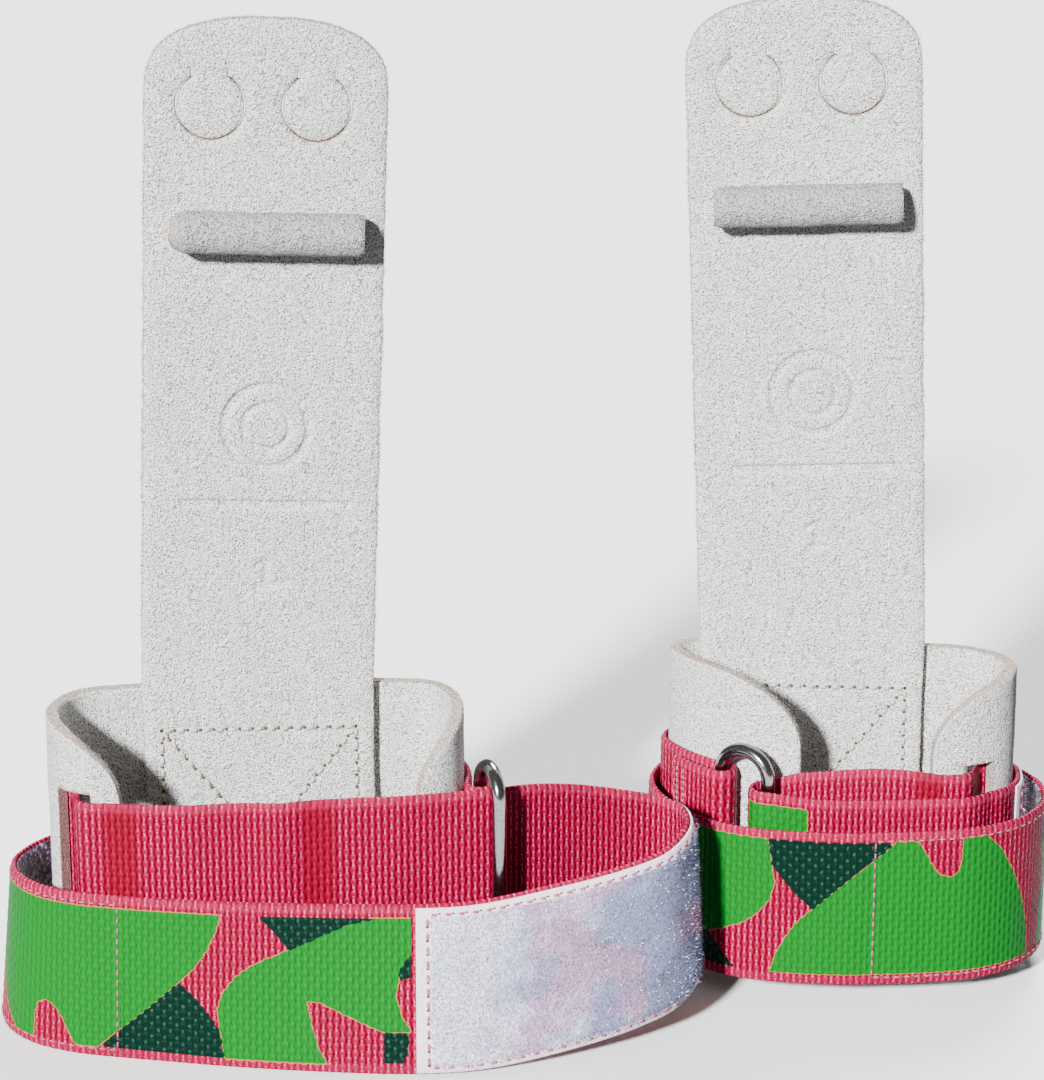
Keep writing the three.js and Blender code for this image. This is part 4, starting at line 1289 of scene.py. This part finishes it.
# ---- Tapes ----
class Tape:
    """A tape sewn to one face of a strap. `side` is the way it faces, off the strap's route."""

    def __init__(self, grip, kind, route, lean, start, end, side, thickness):
        self.grip, self.kind, self.route, self.lean = grip, kind, route, lean
        self.start, self.end, self.side, self.thickness = start, end, side, thickness
        self.near = side * (WEB_THICKNESS / 2 + 0.02)
        self.low, self.high = (WEB_WIDTH - TAPE_WIDTH) / 2, (WEB_WIDTH + TAPE_WIDTH) / 2

    def off_strap(self, share):
        """How far a share of the tape's thickness lies off the strap's route."""
        return self.near + self.side * self.thickness * share

    # Runs from 1 at the tape's start to 0 at its end; it drives the tape's clouds and its painted
    # shade.
    def aged(self, distance):
        return (self.end - distance) / (self.end - self.start)

    def cloth(self, share, material, border, waves, body):
        """The woven ground, thinner along its flat border."""
        distances = np.linspace(self.start, self.end, round((self.end - self.start) / 0.9) + 1)
        low, high = self.low, self.high
        heights = np.concatenate([[low, low + 0.3], np.linspace(low + 0.8, high - 0.8, 44),
                                  [high - 0.3, high]])
        to_end = np.minimum(distances - self.start, self.end - distances) * END_BORDER
        rim = np.minimum(to_end[:, None], np.minimum(heights - low, high - heights))
        spots = stack(distances[:, None], heights, 0.0).reshape(-1, 3)
        lump = rough(spots, waves, 41, 4).reshape(rim.shape)
        flat = smooth(rim, border - 0.4, border + 0.4)
        thick = self.thickness * share * (0.55 + 0.45 * flat) - 0.3 * eased(rim, 0.8) ** 2
        outer = self.near + self.side * (thick + lump * flat)
        return make_band(self.grip, f"{self.kind}_tape_cloth", self.route, distances, heights,
                         self.near, outer, self.lean, material, f"{self.kind}_pile", body,
                         f"{self.kind}_tape", edge=1 - flat, aged=self.aged(distances)[:, None])

    def pile(self, share, material, border, density, tall, seed, body):
        """Short bent fibres that stand on the tape, each a closed three-sided spike."""
        random = np.random.default_rng(seed)
        low, high = self.low + border, self.high - border
        start, end = self.start + border / END_BORDER, self.end - border / END_BORDER
        count = round((end - start) * (high - low) * density)
        distance = random.uniform(start, end, count)
        height = random.uniform(low, high, count)
        point, normal = self.route.at(distance)
        normal = in_space(normal)
        off = self.lean(distance) * (0.5 - height / WEB_WIDTH) + self.off_strap(share)
        root = point + normal * off[:, None] + stack(0.0, 0.0, height)
        long = tall * random.uniform(0.55, 1.3, (count, 1)) * some_longer(random, (count, 1), 0.97)
        gloss = random.uniform(0, 1, count) > 0.95
        wide = random.uniform(0.035, 0.07, (count, 1)) * np.where(gloss[:, None], 2.0, 1.0)
        points, faces = fibres(root, normal * self.side,
                               stack(-normal[:, 1], normal[:, 0], 0.0),
                               np.tile([0.0, 0.0, 1.0], (count, 1)), long,
                               random.uniform(0.25, 1.3, (count, 1)), wide, random)
        corners = len(points) // count
        return make_part(
            self.grip, f"{self.kind}_pile", points, faces, material, f"{self.kind}_pile", body,
            uv=np.repeat(stack(distance, height) * MM, corners, axis=0), angle=180,
            glint=np.repeat(gloss, corners), aged=np.repeat(self.aged(distance), corners))


def stitch_line(shapes, route, lean, spots, offset, length_share, radius):
    """Stitches through a list of (distance, height) spots, each reaching towards the next."""
    spots = np.array(spots, float)
    for a, b in zip(spots[:-1], spots[1:]):
        ends = []
        for share in ((1 - length_share) / 2, (1 + length_share) / 2):
            distance, height = a + (b - a) * share
            point, normal = route.at(distance)
            side = lean(distance) * (0.5 - height / WEB_WIDTH) + offset
            ends.append(point + (*normal * side, height))
        up = np.array([*normal, 0]) * math.copysign(1, offset)
        shapes.capsule(*ends, up, radius)
        shapes.bead(ends[0] * 1.22 - ends[1] * 0.22, up, radius * 1.2)


def stitch_frame(shapes, route, lean, start, end, low, high, pitch, offset, length_share, radius):
    """Stitches round a rectangle on a strap."""
    along = np.linspace(start, end, round((end - start) / pitch) + 1)
    up = np.linspace(low, high, round((high - low) / pitch) + 1)
    for run in (*([(d, h) for d in along] for h in (low, high)),
                *([(d, h) for h in up] for d in (start, end))):
        stitch_line(shapes, route, lean, run, offset, length_share, radius)


def build_loop_tape(grip):
    route, lean = grip.strap, strap_lean(grip)
    start = route.nearest(*grip.tape_from, *grip.tape_from_share)
    end = route.nearest(*grip.tape_to, *grip.tape_to_share)
    tape = Tape(grip, "loop", route, lean, start, end, grip.outward, LOOP_TAPE_THICKNESS)
    tape.cloth(0.75, LOOP_TAPE, 1.7, 0.12, "grip")
    tape.pile(0.72, PILE, 1.4, grip.pile_density, 0.75, 5, "grip")
    shapes = Shapes()
    margin = 1.35
    stitch_frame(shapes, route, lean, start + margin / END_BORDER, end - margin / END_BORDER,
                 tape.low + margin, tape.high - margin, 3.1, tape.off_strap(0.42), 0.5, 0.42)
    shapes.build(grip, "loop_tape_seam", PINK_THREAD, "pink_thread", "grip",
                 ("loop_tape_stitching",))


def build_hook_tape(grip):
    """The hook tape lies on the tail's inner face; its seam shows on the printed one."""
    route, lean = grip.tail_route, tail_lean(grip)
    tape = Tape(grip, "hook", route, lean, route.length * 0.01, route.length * 0.99,
                -grip.outward, HOOK_TAPE_THICKNESS)
    blend_with_tail(grip, tape.cloth(0.7, HOOK_TAPE, 1.6, 0.05, None))
    blend_with_tail(grip, tape.pile(0.68, HOOK_TAPE, 1.6, 2.2, 0.4, 6, None))
    shapes = Shapes()
    margin = 1.9
    stitch_frame(shapes, route, lean, 0.6, route.length - 2.5, margin, WEB_WIDTH - margin, 2.4,
                 grip.outward * (WEB_THICKNESS / 2 - 0.02), 0.6, 0.22)
    seam = shapes.build(grip, "hook_tape_seam", PINK_THREAD, "pink_thread", None,
                        ("hook_tape_stitching",))
    blend_with_tail(grip, seam)


def build_bar_tack(grip):
    """The close bar of stitches that holds the strap's fold round the ring."""
    shapes = Shapes()
    rows = [[(distance, height) for height in np.linspace(2, WEB_WIDTH - 2, 24)]
            for distance in (1.6, 4.1)]
    rows.append([(distance, WEB_WIDTH / 2) for distance in np.linspace(1.6, 4.1, 3)])
    for row in rows:
        stitch_line(shapes, grip.strap, lambda distance: 0.0, row,
                    grip.outward * WEB_THICKNESS / 2, 0.8, 0.26)
    shapes.build(grip, "bar_tack", PINK_THREAD, "pink_thread", "grip", ("tab_stitching",))


# ---- The scene ----
make_camera()
make_studio()
for each_grip in GRIPS:
    build_palm(each_grip)
    build_flap(each_grip, "left", -1)
    build_flap(each_grip, "right", 1)
    for build in (build_box_seam, build_dowel, build_dowel_patch, build_cuff, build_ring,
                  build_strap, build_bar_tack, build_loop_tape, build_hook_tape):
        build(each_grip)
